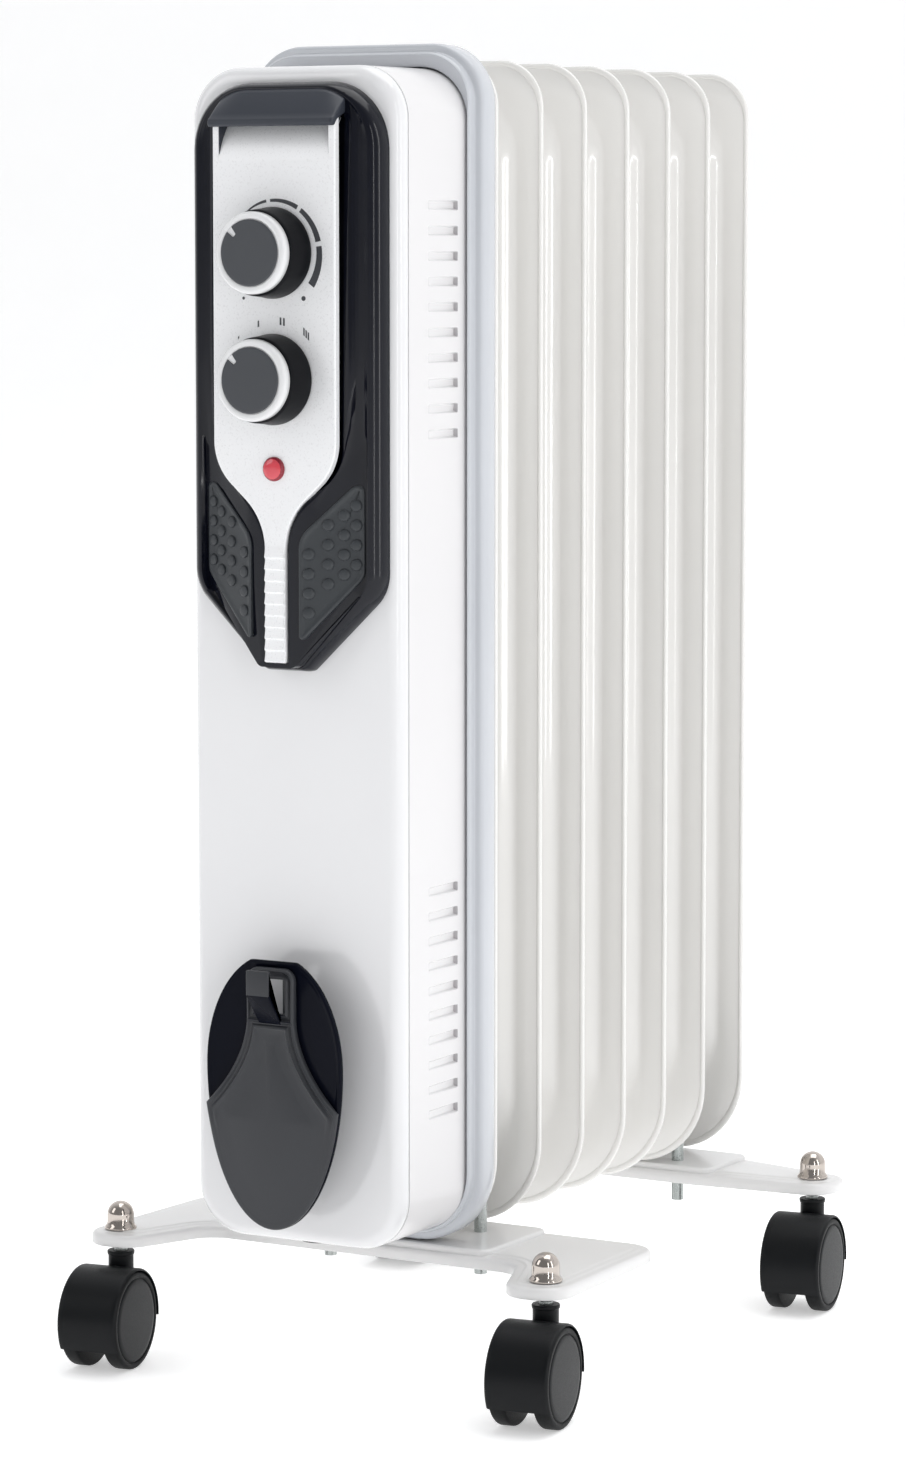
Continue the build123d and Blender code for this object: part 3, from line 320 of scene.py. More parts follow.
PIANO = finish("piano_black", (0.0030, 0.0038, 0.0085), (0.0040, 0.0048, 0.010), 0.14, 0.01,
               grain=150, depth=0.02, Specular_IOR_Level=0.34, Coat_Weight=0.0)
PLATE_BLACK = finish("plate_black", (0.0030, 0.0040, 0.0085), (0.0042, 0.005, 0.010), 0.2, 0.03,
                     grain=150, depth=0.02, Specular_IOR_Level=0.06)
SILVER = finish("silver_lacquer", (0.92, 0.925, 0.935), (0.905, 0.91, 0.92), 0.28, 0.008, grain=1200,
                depth=0.004, Metallic=0.06, Coat_Weight=0.3, Coat_Roughness=0.12)
PRINT = finish("dial_print", (0.055, 0.057, 0.064), (0.07, 0.072, 0.08), 0.45, grain=3000,
               Specular_IOR_Level=0.3)
HOOD_SATIN = finish("hood_satin", (0.038, 0.043, 0.056), (0.032, 0.037, 0.049), 0.36, 0.05,
                    grain=1800, depth=0.08, Specular_IOR_Level=0.35)
SHIELD_SATIN = finish("winder_satin", (0.036, 0.038, 0.044), (0.030, 0.032, 0.037), 0.40, 0.06,
                      grain=1800, depth=0.12, Specular_IOR_Level=0.4)
PAD = finish("grip_pad", (0.038, 0.043, 0.048), (0.027, 0.031, 0.036), 0.42, 0.08, grain=1500,
             depth=0.2, Specular_IOR_Level=0.45)
LENS = finish("lamp_lens_red", (0.80, 0.075, 0.10), (0.70, 0.05, 0.08), 0.14, grain=400,
              Subsurface_Weight=0.2, Coat_Weight=0.5)
# darker red painted shade for the edge of the lamp's dome
LENS_EDGE_SHADE = finish("lamp_edge_painted_shade", (0.28, 0.015, 0.03), (0.22, 0.01, 0.025), 0.25, grain=400)
KNOB_WHITE = finish("knob_rim", (0.80, 0.80, 0.81), (0.78, 0.785, 0.79), 0.24, 0.01, grain=900,
                    depth=0.03, Coat_Weight=0.4)
KNOB_BLACK = finish("knob_skirt", (0.0045, 0.0048, 0.0065), (0.006, 0.0064, 0.008), 0.34,
                    grain=1600, depth=0.06, Specular_IOR_Level=0.10)
KNOB_GREY = finish("knob_cap", (0.062, 0.066, 0.074), (0.054, 0.058, 0.066), 0.46, 0.06, grain=2200,
                   depth=0.12, Specular_IOR_Level=0.4)
CHROME = finish("nut_chrome", (0.58, 0.52, 0.47), (0.52, 0.47, 0.43), 0.10, 0.03, grain=500,
                depth=0.01, Metallic=1.0)
ZINC = finish("zinc_plate", (0.50, 0.52, 0.51), (0.42, 0.45, 0.44), 0.32, 0.08, grain=1400,
              depth=0.1, Metallic=0.9)
BRASS = finish("brass_fitting", (0.62, 0.46, 0.20), (0.52, 0.38, 0.17), 0.3, Metallic=1.0)
SEAL = finish("black_rubber", (0.018, 0.018, 0.019), (0.026, 0.026, 0.027), 0.7, grain=1200,
              depth=0.3)
INNER = finish("inner_moulding", (0.62, 0.60, 0.55), (0.56, 0.54, 0.50), 0.5)
WIRE = finish("wire_insulation", (0.40, 0.05, 0.04), (0.34, 0.04, 0.03), 0.45)
CASTOR = finish("castor_moulding", (0.0038, 0.0048, 0.006), (0.003, 0.0038, 0.0048), 0.40, 0.06,
                grain=1500, depth=0.3, Specular_IOR_Level=0.2)
TYRE = finish("wheel_tread", (0.003, 0.0035, 0.0042), (0.0042, 0.0048, 0.0056), 0.5, grain=1500,
              depth=0.4, Specular_IOR_Level=0.16)
WHEEL_FACE = finish("wheel_face", (0.0062, 0.0070, 0.0082), (0.005, 0.0058, 0.007), 0.42, 0.05,
                    grain=1800, depth=0.3, Specular_IOR_Level=0.2)


# ---------------------------------------------------------------- radiator fins
def fin_skin(y, low, high):
    """Pressed fin: rings from the rolled hem over the flat margin and shoulder to the middle groove.

    Each ring is a rounded oblong; inset moves it in, and the shoulder's rings round their corners
    more and stand further in at the foot than at the sides.  Across its width t from 0 to 1 the
    shoulder rises as t * t * (3 - 2 * t).  The rear face mirrors the front.
    """
    hem_radius, margin_lift, margin_end = 1.25, 0.85, 12.6
    shoulder_start, shoulder_width, shoulder_rise, foot_step = 13.2, 9.5, 5.6, 11.0
    groove_end = 96.0

    def ring(inset, lift, top_radius, foot_radius, foot_extra=0.0):
        """Corners, radii and lift of one ring of the fin's front."""
        corners = oblong(low[0] + inset, high[0] - inset, low[2] + inset + foot_extra,
                         high[2] - inset - foot_extra / 3)
        return corners, [foot_radius, foot_radius, top_radius, top_radius], lift

    rows = [ring(hem_radius * (1 - math.cos(a)), hem_radius * math.sin(a), 22, 40)
            for a in np.radians(np.linspace(0, 150, 8))]
    rows += [ring(3.0, margin_lift, 20.5, 38.5), ring(margin_end, margin_lift, 14, 32)]
    for t in np.linspace(0, 1, 9):
        rows.append(ring(shoulder_start + shoulder_width * t,
                         margin_lift + shoulder_rise * t * t * (3 - 2 * t), 27 - 4 * t, 44 - 6 * t,
                         foot_step * min(1, 0.35 + t)))
    front = [upright(rounded(c, r, 0.0, 12), y - lift) for c, r, lift in rows]
    middle = (low[0] + high[0]) / 2
    groove_rows = ((19, 6.5), (17, 6.1), (14, 4.4), (12, 3.6), (11, 3.5))
    for half, lift in groove_rows:
        groove = oblong(middle - half, middle + half, low[2] + groove_end - half,
                        high[2] - groove_end + half)
        front.append(upright(rounded(groove, half * 0.9, 0.0, 12), y - lift))
    front = np.stack(front)
    rear = front.copy()
    rear[..., 1] = 2 * y - rear[..., 1]
    return capped(np.concatenate([front[::-1], rear[1:]]))


def collector(z, y, front_y, rear_y, radius, last):
    """Oil tube through one fin: flares to meet the fin on both faces and carries a weld bead."""
    flare, foot, bead = 4.0, 6.2, 0.7
    turn = np.linspace(0, math.pi / 2, 6)
    rows = [(0, front_y), (radius - 0.8, front_y), (radius + bead, front_y + 0.5),
            (radius + bead, front_y + 1.6), (radius, front_y + 2.3)]
    rows += [(radius + flare * (1 - math.cos(a)), y - foot - flare * (1 - math.sin(a)))
             for a in turn]
    rows += [(radius + flare * (1 - math.cos(a)), y + foot + flare * (1 - math.sin(a)))
             for a in turn[::-1]]
    if last:
        rows += [(radius, rear_y - 2), (radius - 0.6, rear_y - 0.6), (radius - 2, rear_y), (0, rear_y)]
    else:
        rows += [(radius, rear_y - 2.3), (radius + bead, rear_y - 1.6),
                 (radius + bead, rear_y - 0.5), (radius - 0.8, rear_y), (0, rear_y)]
    return front_turned(rows, 0, z, 56)


def build_fins():
    """One pressed skin and two collectors for each fin, set half a pitch behind its node's front."""
    count = sum(name.startswith("fin_") for name in frame["nodes"])
    pitch = span("fin_2")[0][1] - span("fin_1")[0][1]
    inset, radius = 46.0, 21.0
    for k in range(count):
        name = f"fin_{k + 1}"
        low, high = span(name)
        y = low[1] + pitch / 2
        skins = [fin_skin(y, low, high)]
        for z in (low[2] + inset, high[2] - inset):
            skins.append(collector(z, y, low[1], high[1], radius, k == count - 1))
        piece(f"radiator_{name}", skins, [FIN_PAINT], "heater", [name], sharp=55)


# ---------------------------------------------------------------- cover: frame, shell and panel
def build_back_frame():
    """Stepped rim: one profile carried round the frame's outline."""
    low, high = span("back_frame")
    corners, radii = oblong(low[0], high[0], low[2], high[2]), [35, 35, 27, 27]
    front, back = low[1], high[1]
    step = front + 5.0
    profile = [(13.5, back - 1.2), (13.5, back), (1.6, back), (0.5, back - 0.4), (0, back - 1.5),
               (0, step + 2.4), (0.3, step + 1.2), (1.2, step + 0.3), (2.4, step), (3.4, step - 0.1),
               (3.9, step - 0.6), (4.0, step - 1.4), (4.0, front + 1.6), (4.3, front + 0.5),
               (5.0, front), (5.6, front + 0.3)]
    rings = carried(profile, lambda i: rounded(corners, radii, i, 12), upright)
    shell_low, shell_high = span("side_shell")
    mouth = oblong(shell_low[0], shell_high[0], shell_low[2], shell_high[2])
    web = [(-1.6, front + 0.9), (-0.9, front + 1.3), (-0.7, front + 2.2), (-0.7, back - 1.2)]
    web_rings = carried(web, lambda i: rounded(mouth, COVER_RADIUS, i, 12), upright)
    rings = np.concatenate([rings, web_rings])
    piece("cover_back_frame", [grid(rings, around=True, along=True)], [FRAME_PAINT], "heater",
          ["back_frame"], sharp=50)


LOUVRE_STEP = 0.955     # share of a louvre's length where its ramp steps out


def louvre_depth(y, z, tops, pitch, count, reach, length, height):
    """Depth of the pressed louvres at points (y, z): a ramp that deepens rearwards, then steps out.

    Across its height each louvre has a smooth window, repeated count times below each top height.
    """
    along = np.clip((y - reach) / length, 0, 1)
    dip = np.clip(along / 0.06, 0, 1)
    ramp = 0.34 * dip * dip * (3 - 2 * dip) + 0.66 * (along / LOUVRE_STEP) ** 1.5
    ramp = np.where(along < LOUVRE_STEP, ramp, 0.0)
    depth = np.zeros(np.broadcast(y, z).shape)
    for top in tops:
        row = (top - z) / pitch
        near = (row - np.floor(row)) * pitch
        inside = (row >= 0) & (row < count) & (near < height)
        window = np.clip(np.minimum(near, height - near) / 0.75, 0, 1)
        depth = np.where(inside, ramp * window * window * (3 - 2 * window), depth)
    return depth


def build_side_shell():
    """Ring-shaped shell: an outline of corners and finely divided sides, carried from front to rear.

    The two tall sides sink in at each louvre by the louvre depth, inner and outer face alike.
    """
    low, high = span("side_shell")
    radius, wall, sink = COVER_RADIUS, 1.2, 2.1
    tops, pitch, count, height = (549.0, 239.0), 11.4, 10, 4.4
    front, back = low[1], high[1]
    side_z = [np.linspace(low[2] + radius, tops[1] - pitch * count, 8, endpoint=False)]
    for k, top in enumerate(reversed(tops)):
        side_z.append(np.arange(top - pitch * count, top + 1.0, 0.38))
        end = tops[0] - pitch * count if k == 0 else high[2] - radius
        side_z.append(np.linspace(top + 2.0, end - 1.0, 10))
    side_z = np.concatenate(side_z)
    arc = np.linspace(0, math.pi / 2, 13)
    half, turn = (high[0] - low[0]) / 2, np.stack([np.cos(arc), np.sin(arc)], axis=1)
    flat_x = np.linspace(-(half - radius), half - radius, 8)[1:-1]

    def corner(x, z, quarter):
        """Quarter circle of the outline and its outward normals, turned by a number of quarters."""
        c, s = math.cos(quarter * math.pi / 2), math.sin(quarter * math.pi / 2)
        normal = turn @ np.array([[c, s], [-s, c]])
        return np.array([x, z]) + radius * normal, normal

    def side(points, normal):
        """Points of a flat side of the outline, all with one outward normal."""
        return points, np.broadcast_to(np.array(normal, float), points.shape)

    mid = half - radius
    top_z, low_z = high[2] - radius, low[2] + radius
    parts = [side(np.stack([np.full(len(side_z), half), side_z], 1), (1, 0)),
             corner(mid, top_z, 0), side(np.stack([flat_x[::-1], np.full(6, high[2])], 1), (0, 1)),
             corner(-mid, top_z, 1),
             side(np.stack([np.full(len(side_z), -half), side_z[::-1]], 1), (-1, 0)),
             corner(-mid, low_z, 2), side(np.stack([flat_x, np.full(6, low[2])], 1), (0, -1)),
             corner(mid, low_z, 3)]
    outline = np.concatenate([points for points, _ in parts])
    normal = np.concatenate([normals for _, normals in parts])
    reach, length = -140.0, 27.6
    y = np.unique(np.concatenate([np.linspace(front, reach, 4),
                                  reach + length * np.array([0.01, 0.02, 0.035, 0.05, 0.06]),
                                  np.linspace(reach, reach + length, 20),
                                  reach + length * (LOUVRE_STEP + np.array([-0.01, 0, 0.01])),
                                  np.linspace(reach + length + 0.5, back, 4)]))
    depth = louvre_depth(y[:, None], outline[None, :, 1], tops, pitch, count, reach, length, height)
    depth = sink * depth * (np.abs(normal[None, :, 0]) > 0.999)

    def skin(thickness):
        """The shell's surface at a depth below the outer face, louvres included."""
        moved = outline[None] - normal[None] * (depth + thickness)[..., None]
        return np.stack([moved[..., 0], np.broadcast_to(y[:, None], depth.shape), moved[..., 1]], -1)

    rings = np.concatenate([skin(0.0), skin(wall)[::-1]])
    notch = reach + length * LOUVRE_STEP

    def is_shaded_louvre_end(centre):
        """Faces of the small step at each louvre's rear end, which take a grey finish as painted shade.
        """
        return (np.abs(centre[:, 1] - notch) < 0.9) & (np.abs(centre[:, 0]) < half - 0.35) & (
            np.abs(centre[:, 0]) > half - 3) & (centre[:, 2] > low_z) & (centre[:, 2] < top_z)

    # the step at each louvre's rear end takes the grey painted shade
    piece("cover_side_shell", [grid(rings, around=True, along=True)], [SHELL_PAINT, LOUVRE_END_SHADE],
          "heater", ["side_shell"], sharp=40, second=is_shaded_louvre_end)


def build_front_panel():
    """Shallow tray with a wide rounded front edge and a flat face."""
    low, high = span("front_panel")
    front, seam, edge, wall = low[1], low[1] + 7.7, 6.0, 2.0
    corners = oblong(low[0], high[0], low[2], high[2])
    angle = np.linspace(0, math.pi / 2, 11)
    profile = [(edge + 2, front + wall), (wall + 2, front + wall + 1), (wall, front + edge),
               (wall, seam), (0.3, seam), (0, seam - 0.3)]
    profile += [(edge * (1 - math.cos(a)), front + edge * (1 - math.sin(a))) for a in angle]
    profile += [(edge + 1, front)]
    rings = carried(profile, lambda i: rounded(corners, COVER_RADIUS, i, 12), upright)
    piece("cover_front_panel", [capped(rings)], [COVER_PAINT], "heater",
          ["front_panel"], sharp=50)


# ---------------------------------------------------------------- console
panel_low, panel_high = span("front_panel")
fascia_low, fascia_high = span("fascia_panel")
bezel_low, bezel_high = span("console_bezel")
PANEL_Y = panel_low[1]
FASCIA_Y = PANEL_Y - CONSOLE_LIFT
RECESS_TOP = fascia_high[2]


def console_ring(inset, lift):
    """Ring of the console's outer outline, drawn in most along the sides and least at its ends."""
    half, knee, tip = bezel_high[0] - inset, 374.5 + 0.35 * inset, 11.0 - 0.25 * inset
    bottom, top = bezel_low[2] + 0.32 * inset, bezel_high[2] - 0.55 * inset
    corners = [(-tip, bottom), (tip, bottom), (half, knee), (half, 470), (half, top), (-half, top),
               (-half, 470), (-half, knee)]
    radii = [4, 4, 20 - 0.5 * inset, 30, 30 - 0.8 * inset, 30 - 0.8 * inset, 30, 20 - 0.5 * inset]
    return upright(rounded(corners, radii, 0.0, 12), PANEL_Y - lift)


def fascia_ring(grow, lift, top=None):
    """Ring of the fascia's outline grown by a margin: straight sides that run in to a narrow stem."""
    half, stem, bottom = fascia_high[0] + grow, 5.5 + grow, 342.0 - 0.45 * grow
    top = RECESS_TOP + 0.3 * grow if top is None else top
    corners = [(-stem, bottom), (stem, bottom), (stem, 406), (half, 430), (half, top), (-half, top),
               (-half, 430), (-stem, 406)]
    radii = [0.6 + grow, 0.6 + grow, 30 - grow, 26 + grow, 1 + grow, 1 + grow, 26 + grow, 30 - grow]
    return upright(rounded(corners, radii, 0.0, 12), PANEL_Y - lift)


def pad_lift(x):
    """Height above the front panel of the console's sloping lower sides, flush at the stem."""
    return CONSOLE_LIFT - 0.345 * np.maximum(np.abs(x) - 12.4, -4.0)


def build_bezel():
    """Gloss roll: rings over a rounded lip, then blended inwards from the console to the fascia.

    Beside the knobs the blend runs low and steps up at the fascia; lower down it follows the pads'
    slope.  Above the recess it stays low, under the hood.
    """
    roll = [(0.0, 0.0), (0.05, 1.6), (0.3, 3.4), (0.9, 5.2), (1.9, 6.9), (3.2, 8.3), (4.4, 9.15),
            (5.4, 9.5), (6.3, 9.45)]
    rings = [console_ring(1.0, 0.0)] + [console_ring(i, h) for i, h in roll]
    outer, inner = console_ring(7.6, 0.0), fascia_ring(1.3, 0.0)
    for t in (0.0, 0.12, 0.3, 0.5, 0.62, 0.72, 0.8, 0.87, 0.93, 0.97, 1.0):
        ring = (1 - t) * outer + t * inner
        x, z = ring[:, 0], ring[:, 2]
        rise = np.clip((t - 0.5) / 0.5, 0, 1)
        step = 9.2 + 6.5 * (1 - (1 - rise) ** 1.6)
        slope = np.clip(pad_lift(x) - 0.75, 6.2, 15.7)
        upper = np.clip((z - 418.0) / 58.0, 0, 1)
        upper = upper * upper * (3 - 2 * upper)
        lift = slope * (1 - upper) + step * upper
        under = np.clip((z - 582.0) / 7.0, 0, 1)
        ring[:, 1] = PANEL_Y - (lift * (1 - under) + np.minimum(lift, 8.9) * under)
        rings.append(ring)
    last = rings[-1]
    for grow, lift in ((0.7, 15.6), (0.3, 15.0), (0.2, 1.2)):
        ring = fascia_ring(grow, lift)
        ring[:, 1] = np.maximum(ring[:, 1], last[:, 1])
        rings.append(ring)
    piece("console_roll", [capped(np.stack(rings))], [PIANO], "heater",
          ["console_bezel"], sharp=60)


def build_fascia():
    """Height field over the fascia: rounded edges, saw-tooth ribs on the stem, a finger recess.

    Each row of constant height runs from edge to edge; the recess sinks between two side strips
    from its foot upwards, and each rib rises slowly and drops back sharply.
    """
    outline = fascia_ring(0.0, 0.0, 586.0)
    right = outline[(outline[:, 0] > 0.5)]
    right = right[np.argsort(right[:, 2], kind="stable")]
    foot, pocket, rib_top, rib_pitch = 342.0, 566.0, 394.0, 5.2
    teeth = rib_top - rib_pitch * (np.arange(10)[:, None] + np.array([0, 0.3, 0.6, 0.84, 0.88, 0.995]))
    z = np.unique(np.concatenate([
        foot + np.array([0, 0.04, 0.15, 0.35, 0.6, 0.9]), teeth[teeth > foot + 1.0],
        np.arange(rib_top, 446, 1.0), np.linspace(446, pocket - 2, 12),
        np.linspace(pocket - 2, pocket + 4, 15), np.linspace(pocket + 4, 586, 20)]))
    half = np.interp(z, right[:, 2], right[:, 0])
    margin = np.array([0, 0.03, 0.12, 0.3, 0.55, 0.85, 1.2, 2.4, 3.3, 3.42, 3.9])
    share = np.linspace(-1, 1, 27)[1:-1]
    x = np.concatenate([-(half[:, None] - margin), (half[:, None] - 3.9) * share,
                        (half[:, None] - margin)[:, ::-1]], axis=1)
    height = np.broadcast_to(z[:, None], x.shape)
    gap = np.minimum(half[:, None] - np.abs(x), height - foot)
    edge = 0.9
    near = np.clip(edge - gap, 0, edge)
    front = edge - np.sqrt(edge ** 2 - near ** 2)
    row = (rib_top - height) / rib_pitch
    tooth = row - np.floor(row)
    tooth = np.where(tooth < 0.86, tooth / 0.86, (1 - tooth) / 0.14)
    front -= 1.0 * tooth * ((row > 0) & (row < 10)) * np.clip(gap / 0.5, 0.35, 1)
    down = np.clip((height - pocket) / 19.0, 0, 1)
    sink = 9.8 * (down ** 1.7)
    front += np.where(np.abs(x) < half[:, None] - 3.36, np.maximum(sink, 0), 0)
    back = np.maximum(front + 1.3, 3.4)
    skin = np.concatenate([np.stack([x, FASCIA_Y + front, height], -1),
                           np.stack([x, FASCIA_Y + back, height], -1)[:, ::-1]], axis=1)
    piece("console_fascia", [capped(skin)], [SILVER], "heater", ["fascia_panel"],
          sharp=42)


def build_hood():
    """Carrying grip: a flat roof that slopes back from a rounded lip to the console's roll.

    One YZ section is carried from side to side; its rear edge follows the roll's inner outline.
    Two dark cheeks close the ends of the finger recess.
    """
    low, high = span("handle_grip")
    lip_y, lip_z, half = low[1], low[2], high[0] + 0.5
    radius, middle_x, middle_z = 24.6, 18.3, 573.6
    rows = []
    ends = half - np.array([0.0, 0.12, 0.4, 0.9])
    for x in np.concatenate([-ends, np.linspace(-half + 1.6, half - 1.6, 33), ends[::-1]]):
        beyond = max(abs(x) - middle_x, 0)
        top = middle_z + math.sqrt(radius ** 2 - beyond ** 2)
        roof_y, start_y, start_z = PANEL_Y - 9.35, lip_y + 1.3, lip_z + 3.7
        slope = np.array([(start_y + t * (roof_y - start_y), start_z + t * (top - start_z) +
                           0.5 * math.sin(math.pi * t)) for t in (0.15, 0.5, 0.85)])
        section = np.concatenate([
            [(lip_y + 2.2, lip_z), (lip_y + 0.8, lip_z + 0.1), (lip_y + 0.15, lip_z + 0.7),
             (lip_y, lip_z + 1.7), (lip_y + 0.15, lip_z + 2.6), (lip_y + 0.6, lip_z + 3.3),
             (start_y, start_z)], slope,
            [(roof_y, top), (PANEL_Y - 5, top), (PANEL_Y - 4, top - 4), (lip_y + 4.5, lip_z + 2.6),
             (lip_y + 2.8, lip_z + 1.0)]])
        tuck = 0.75 * (1 - math.sqrt(max(0.0, 1 - max(0.0, (abs(x) - half + 0.9) / 0.9) ** 2)))
        centre = np.array([(lip_y + roof_y) / 2 + 2, (lip_z + top) / 2])
        away = centre - section
        section = section + away / np.linalg.norm(away, axis=1, keepdims=True) * tuck
        rows.append(sideways(section, x))
    skins = [capped(np.stack(rows))]
    for sign in (-1, 1):
        x = sign * (fascia_high[0] - 3.45)
        back_z = np.linspace(567.5, 585.5, 9)
        back_y = FASCIA_Y + 9.8 * ((back_z - 566.0) / 19.0) ** 1.7 + 0.4
        wedge = np.concatenate([np.stack([back_y, back_z], axis=1), [(FASCIA_Y + 0.45, 585.0)]])
        skins.append(capped(np.stack([sideways(wedge, x - 0.25), sideways(wedge, x + 0.25)])))
    piece("grip_hood", skins, [HOOD_SATIN], "heater", ["handle_grip"], sharp=50)


def build_pads():
    """Dimpled pads on the sloping sides of the stem: a rounded plate that follows the slope.

    The plate's outline is filled with shrinking rings and every point is dropped onto the slope;
    the domes stand on it in staggered columns.
    """
    for name, sign in (("dot_pad_left", -1), ("dot_pad_right", 1)):
        corners = [(12.6, 350.6), (41.6, 381.6), (41.6, 421.5), (37.6, 423.2), (12.6, 399.0)]
        radii = [1.6, 8.0, 3.0, 4.5, 13.0]

        def outline(inset):
            """The pad's outline, mirrored for the left pad."""
            points = rounded(corners, radii, inset, 8)
            return points if sign > 0 else (points * (-1, 1))[::-1]

        def placed(points, lift):
            """(x, z) points dropped onto the slope, a lift above it."""
            return upright(points, PANEL_Y - pad_lift(points[:, 0]) - lift)

        angle = np.linspace(0, math.pi / 2, 6)
        edge = [(0.0, -2.0), (0.0, -0.4)]
        edge += [(0.9 * (1 - math.cos(a)), -0.4 + 0.9 * math.sin(a)) for a in angle[1:]]
        edge += [(1.5, 0.5), (1.9, 0.25), (2.4, 0.12)]
        rings = [placed(outline(inset), lift) for inset, lift in edge]
        inside = outline(2.4)
        middle = inside.mean(axis=0)
        rings += [placed(middle + (inside - middle) * share, 0.12)
                  for share in np.linspace(1, 0.04, 12)[1:]]
        skins = [capped(np.stack(rings))]
        dome = [(0, 0.6), (2.75, 0.6), (2.7, -0.05)]
        dome += [(1.45 + 1.2 * math.cos(a), -0.05 - 1.15 * math.sin(a)) for a in angle[1:]]
        dome += [(0.8, -1.27), (0, -1.3)]
        for column, x in enumerate((17.2, 25.6, 32.6, 38.0)):
            lower = 350.6 + (x - 12.6) * 31.0 / 29.0 + 5.6
            upper = min(399.0 + (x - 12.6) * 24.2 / 25.0, 421.0) - 3.8
            z = 417.8 - (column % 2) * 4.4 - 8.8 * np.arange(9)
            for height in z[(z > lower) & (z < upper)]:
                points, faces = front_turned(dome, sign * x, height, 24)
                points[:, 1] += PANEL_Y - pad_lift(points[:, 0]) - 0.12
                skins.append((points, faces))
        piece(f"grip_{name}", skins, [PAD], "heater", [name], sharp=40)


def build_lamp():
    """Domed lens: the dome's radius goes with cos ** 0.55 and its height with sin of one angle."""
    low, high = span("lamp_lens")
    x, z = (low[0] + high[0]) / 2, (low[2] + high[2]) / 2
    radius, proud = (high[0] - low[0]) / 2, high[1] - low[1]
    angle = np.linspace(0, math.pi / 2, 9)
    rows = [(0, 1.5), (radius - 0.6, 1.5), (radius - 0.6, 0.1), (radius, 0.05), (radius, -0.5)]
    rows += [(radius * math.cos(a) ** 0.55, -0.5 - (proud - 0.5) * math.sin(a)) for a in angle[1:]]
    rows = [(r, high[1] + y) for r, y in rows]

    def is_shaded_lens_edge(centre):
        """Faces near the lens's edge, which take a darker red as painted shade."""
        return np.hypot(centre[:, 0] - x, centre[:, 2] - z) > radius * 0.86

    piece("lamp_dome", [front_turned(rows, x, z, 48)], [LENS, LENS_EDGE_SHADE], "heater",
          ["lamp_lens"], second=is_shaded_lens_edge)


def build_dials():
    """Printed scales: arcs of a flat band whose width grows clockwise, and small marks."""
    surface, lift = FASCIA_Y, 0.07

    def band(z, start, end, inner, outer_start, outer_end):
        """Arc round a dial between two angles, with an outer radius that changes evenly."""
        angle = np.radians(np.linspace(start, end, 24))
        outer = np.linspace(outer_start, outer_end, 24)
        edge = np.stack([inner * np.cos(angle), z + inner * np.sin(angle)], 1)
        rim = np.stack([outer * np.cos(angle), z + outer * np.sin(angle)], 1)
        rows = [upright(edge, surface + lift), upright(edge, surface - lift),
                upright(rim, surface - lift), upright(rim, surface + lift)]
        return capped(np.stack(rows, axis=1))

    def mark(z, turn, radius, width, length, shift):
        """Upright bar at an angle and radius round a dial, shifted along the arc."""
        angle = math.radians(turn)
        out = np.array([math.cos(angle), math.sin(angle)])
        across = np.array([-out[1], out[0]])
        centre = np.array([0, z]) + radius * out + shift * across
        corners = [centre + u * across * width / 2 + v * np.array([0, 1]) * length / 2
                   for u, v in ((-1, -1), (1, -1), (1, 1), (-1, 1))]
        return capped(np.stack([upright(np.array(corners), surface + lift),
                                upright(np.array(corners), surface - lift)]))

    warm_z, mode_z = (sum(corner[2] for corner in span(f"{knob}_cap")) / 2
                      for knob in ("thermostat_knob", "mode_knob"))
    skins = [band(warm_z, 128, 99, 22.6, 23.2, 23.9), band(warm_z, 94, 58, 22.6, 23.9, 24.7),
             band(warm_z, 53, 12, 22.6, 24.7, 25.4), band(warm_z, 7, -36, 22.6, 25.4, 26.2)]
    spot_radius = 25.6
    for turn, size in ((232, 0.7), (-52, 1.1)):
        angle = math.radians(turn)
        spot = [(0, surface + lift), (size, surface + lift), (size, surface - lift),
                (0, surface - lift)]
        skins.append(front_turned(spot, spot_radius * math.cos(angle),
                                  warm_z + spot_radius * math.sin(angle), 16))
    for turn, radius, width, length, shifts in (
            (135, 26.2, 0.9, 1.2, [0.0]), (108, 26.0, 0.8, 2.8, [0.0]),
            (80, 26.2, 0.9, 3.4, [-0.9, 0.9]), (50, 26.6, 0.9, 3.4, [-1.5, 0.0, 1.5])):
        skins += [mark(mode_z, turn, radius, width, length, shift) for shift in shifts]
    piece("dial_scales", skins, [PRINT], "heater", sharp=30)


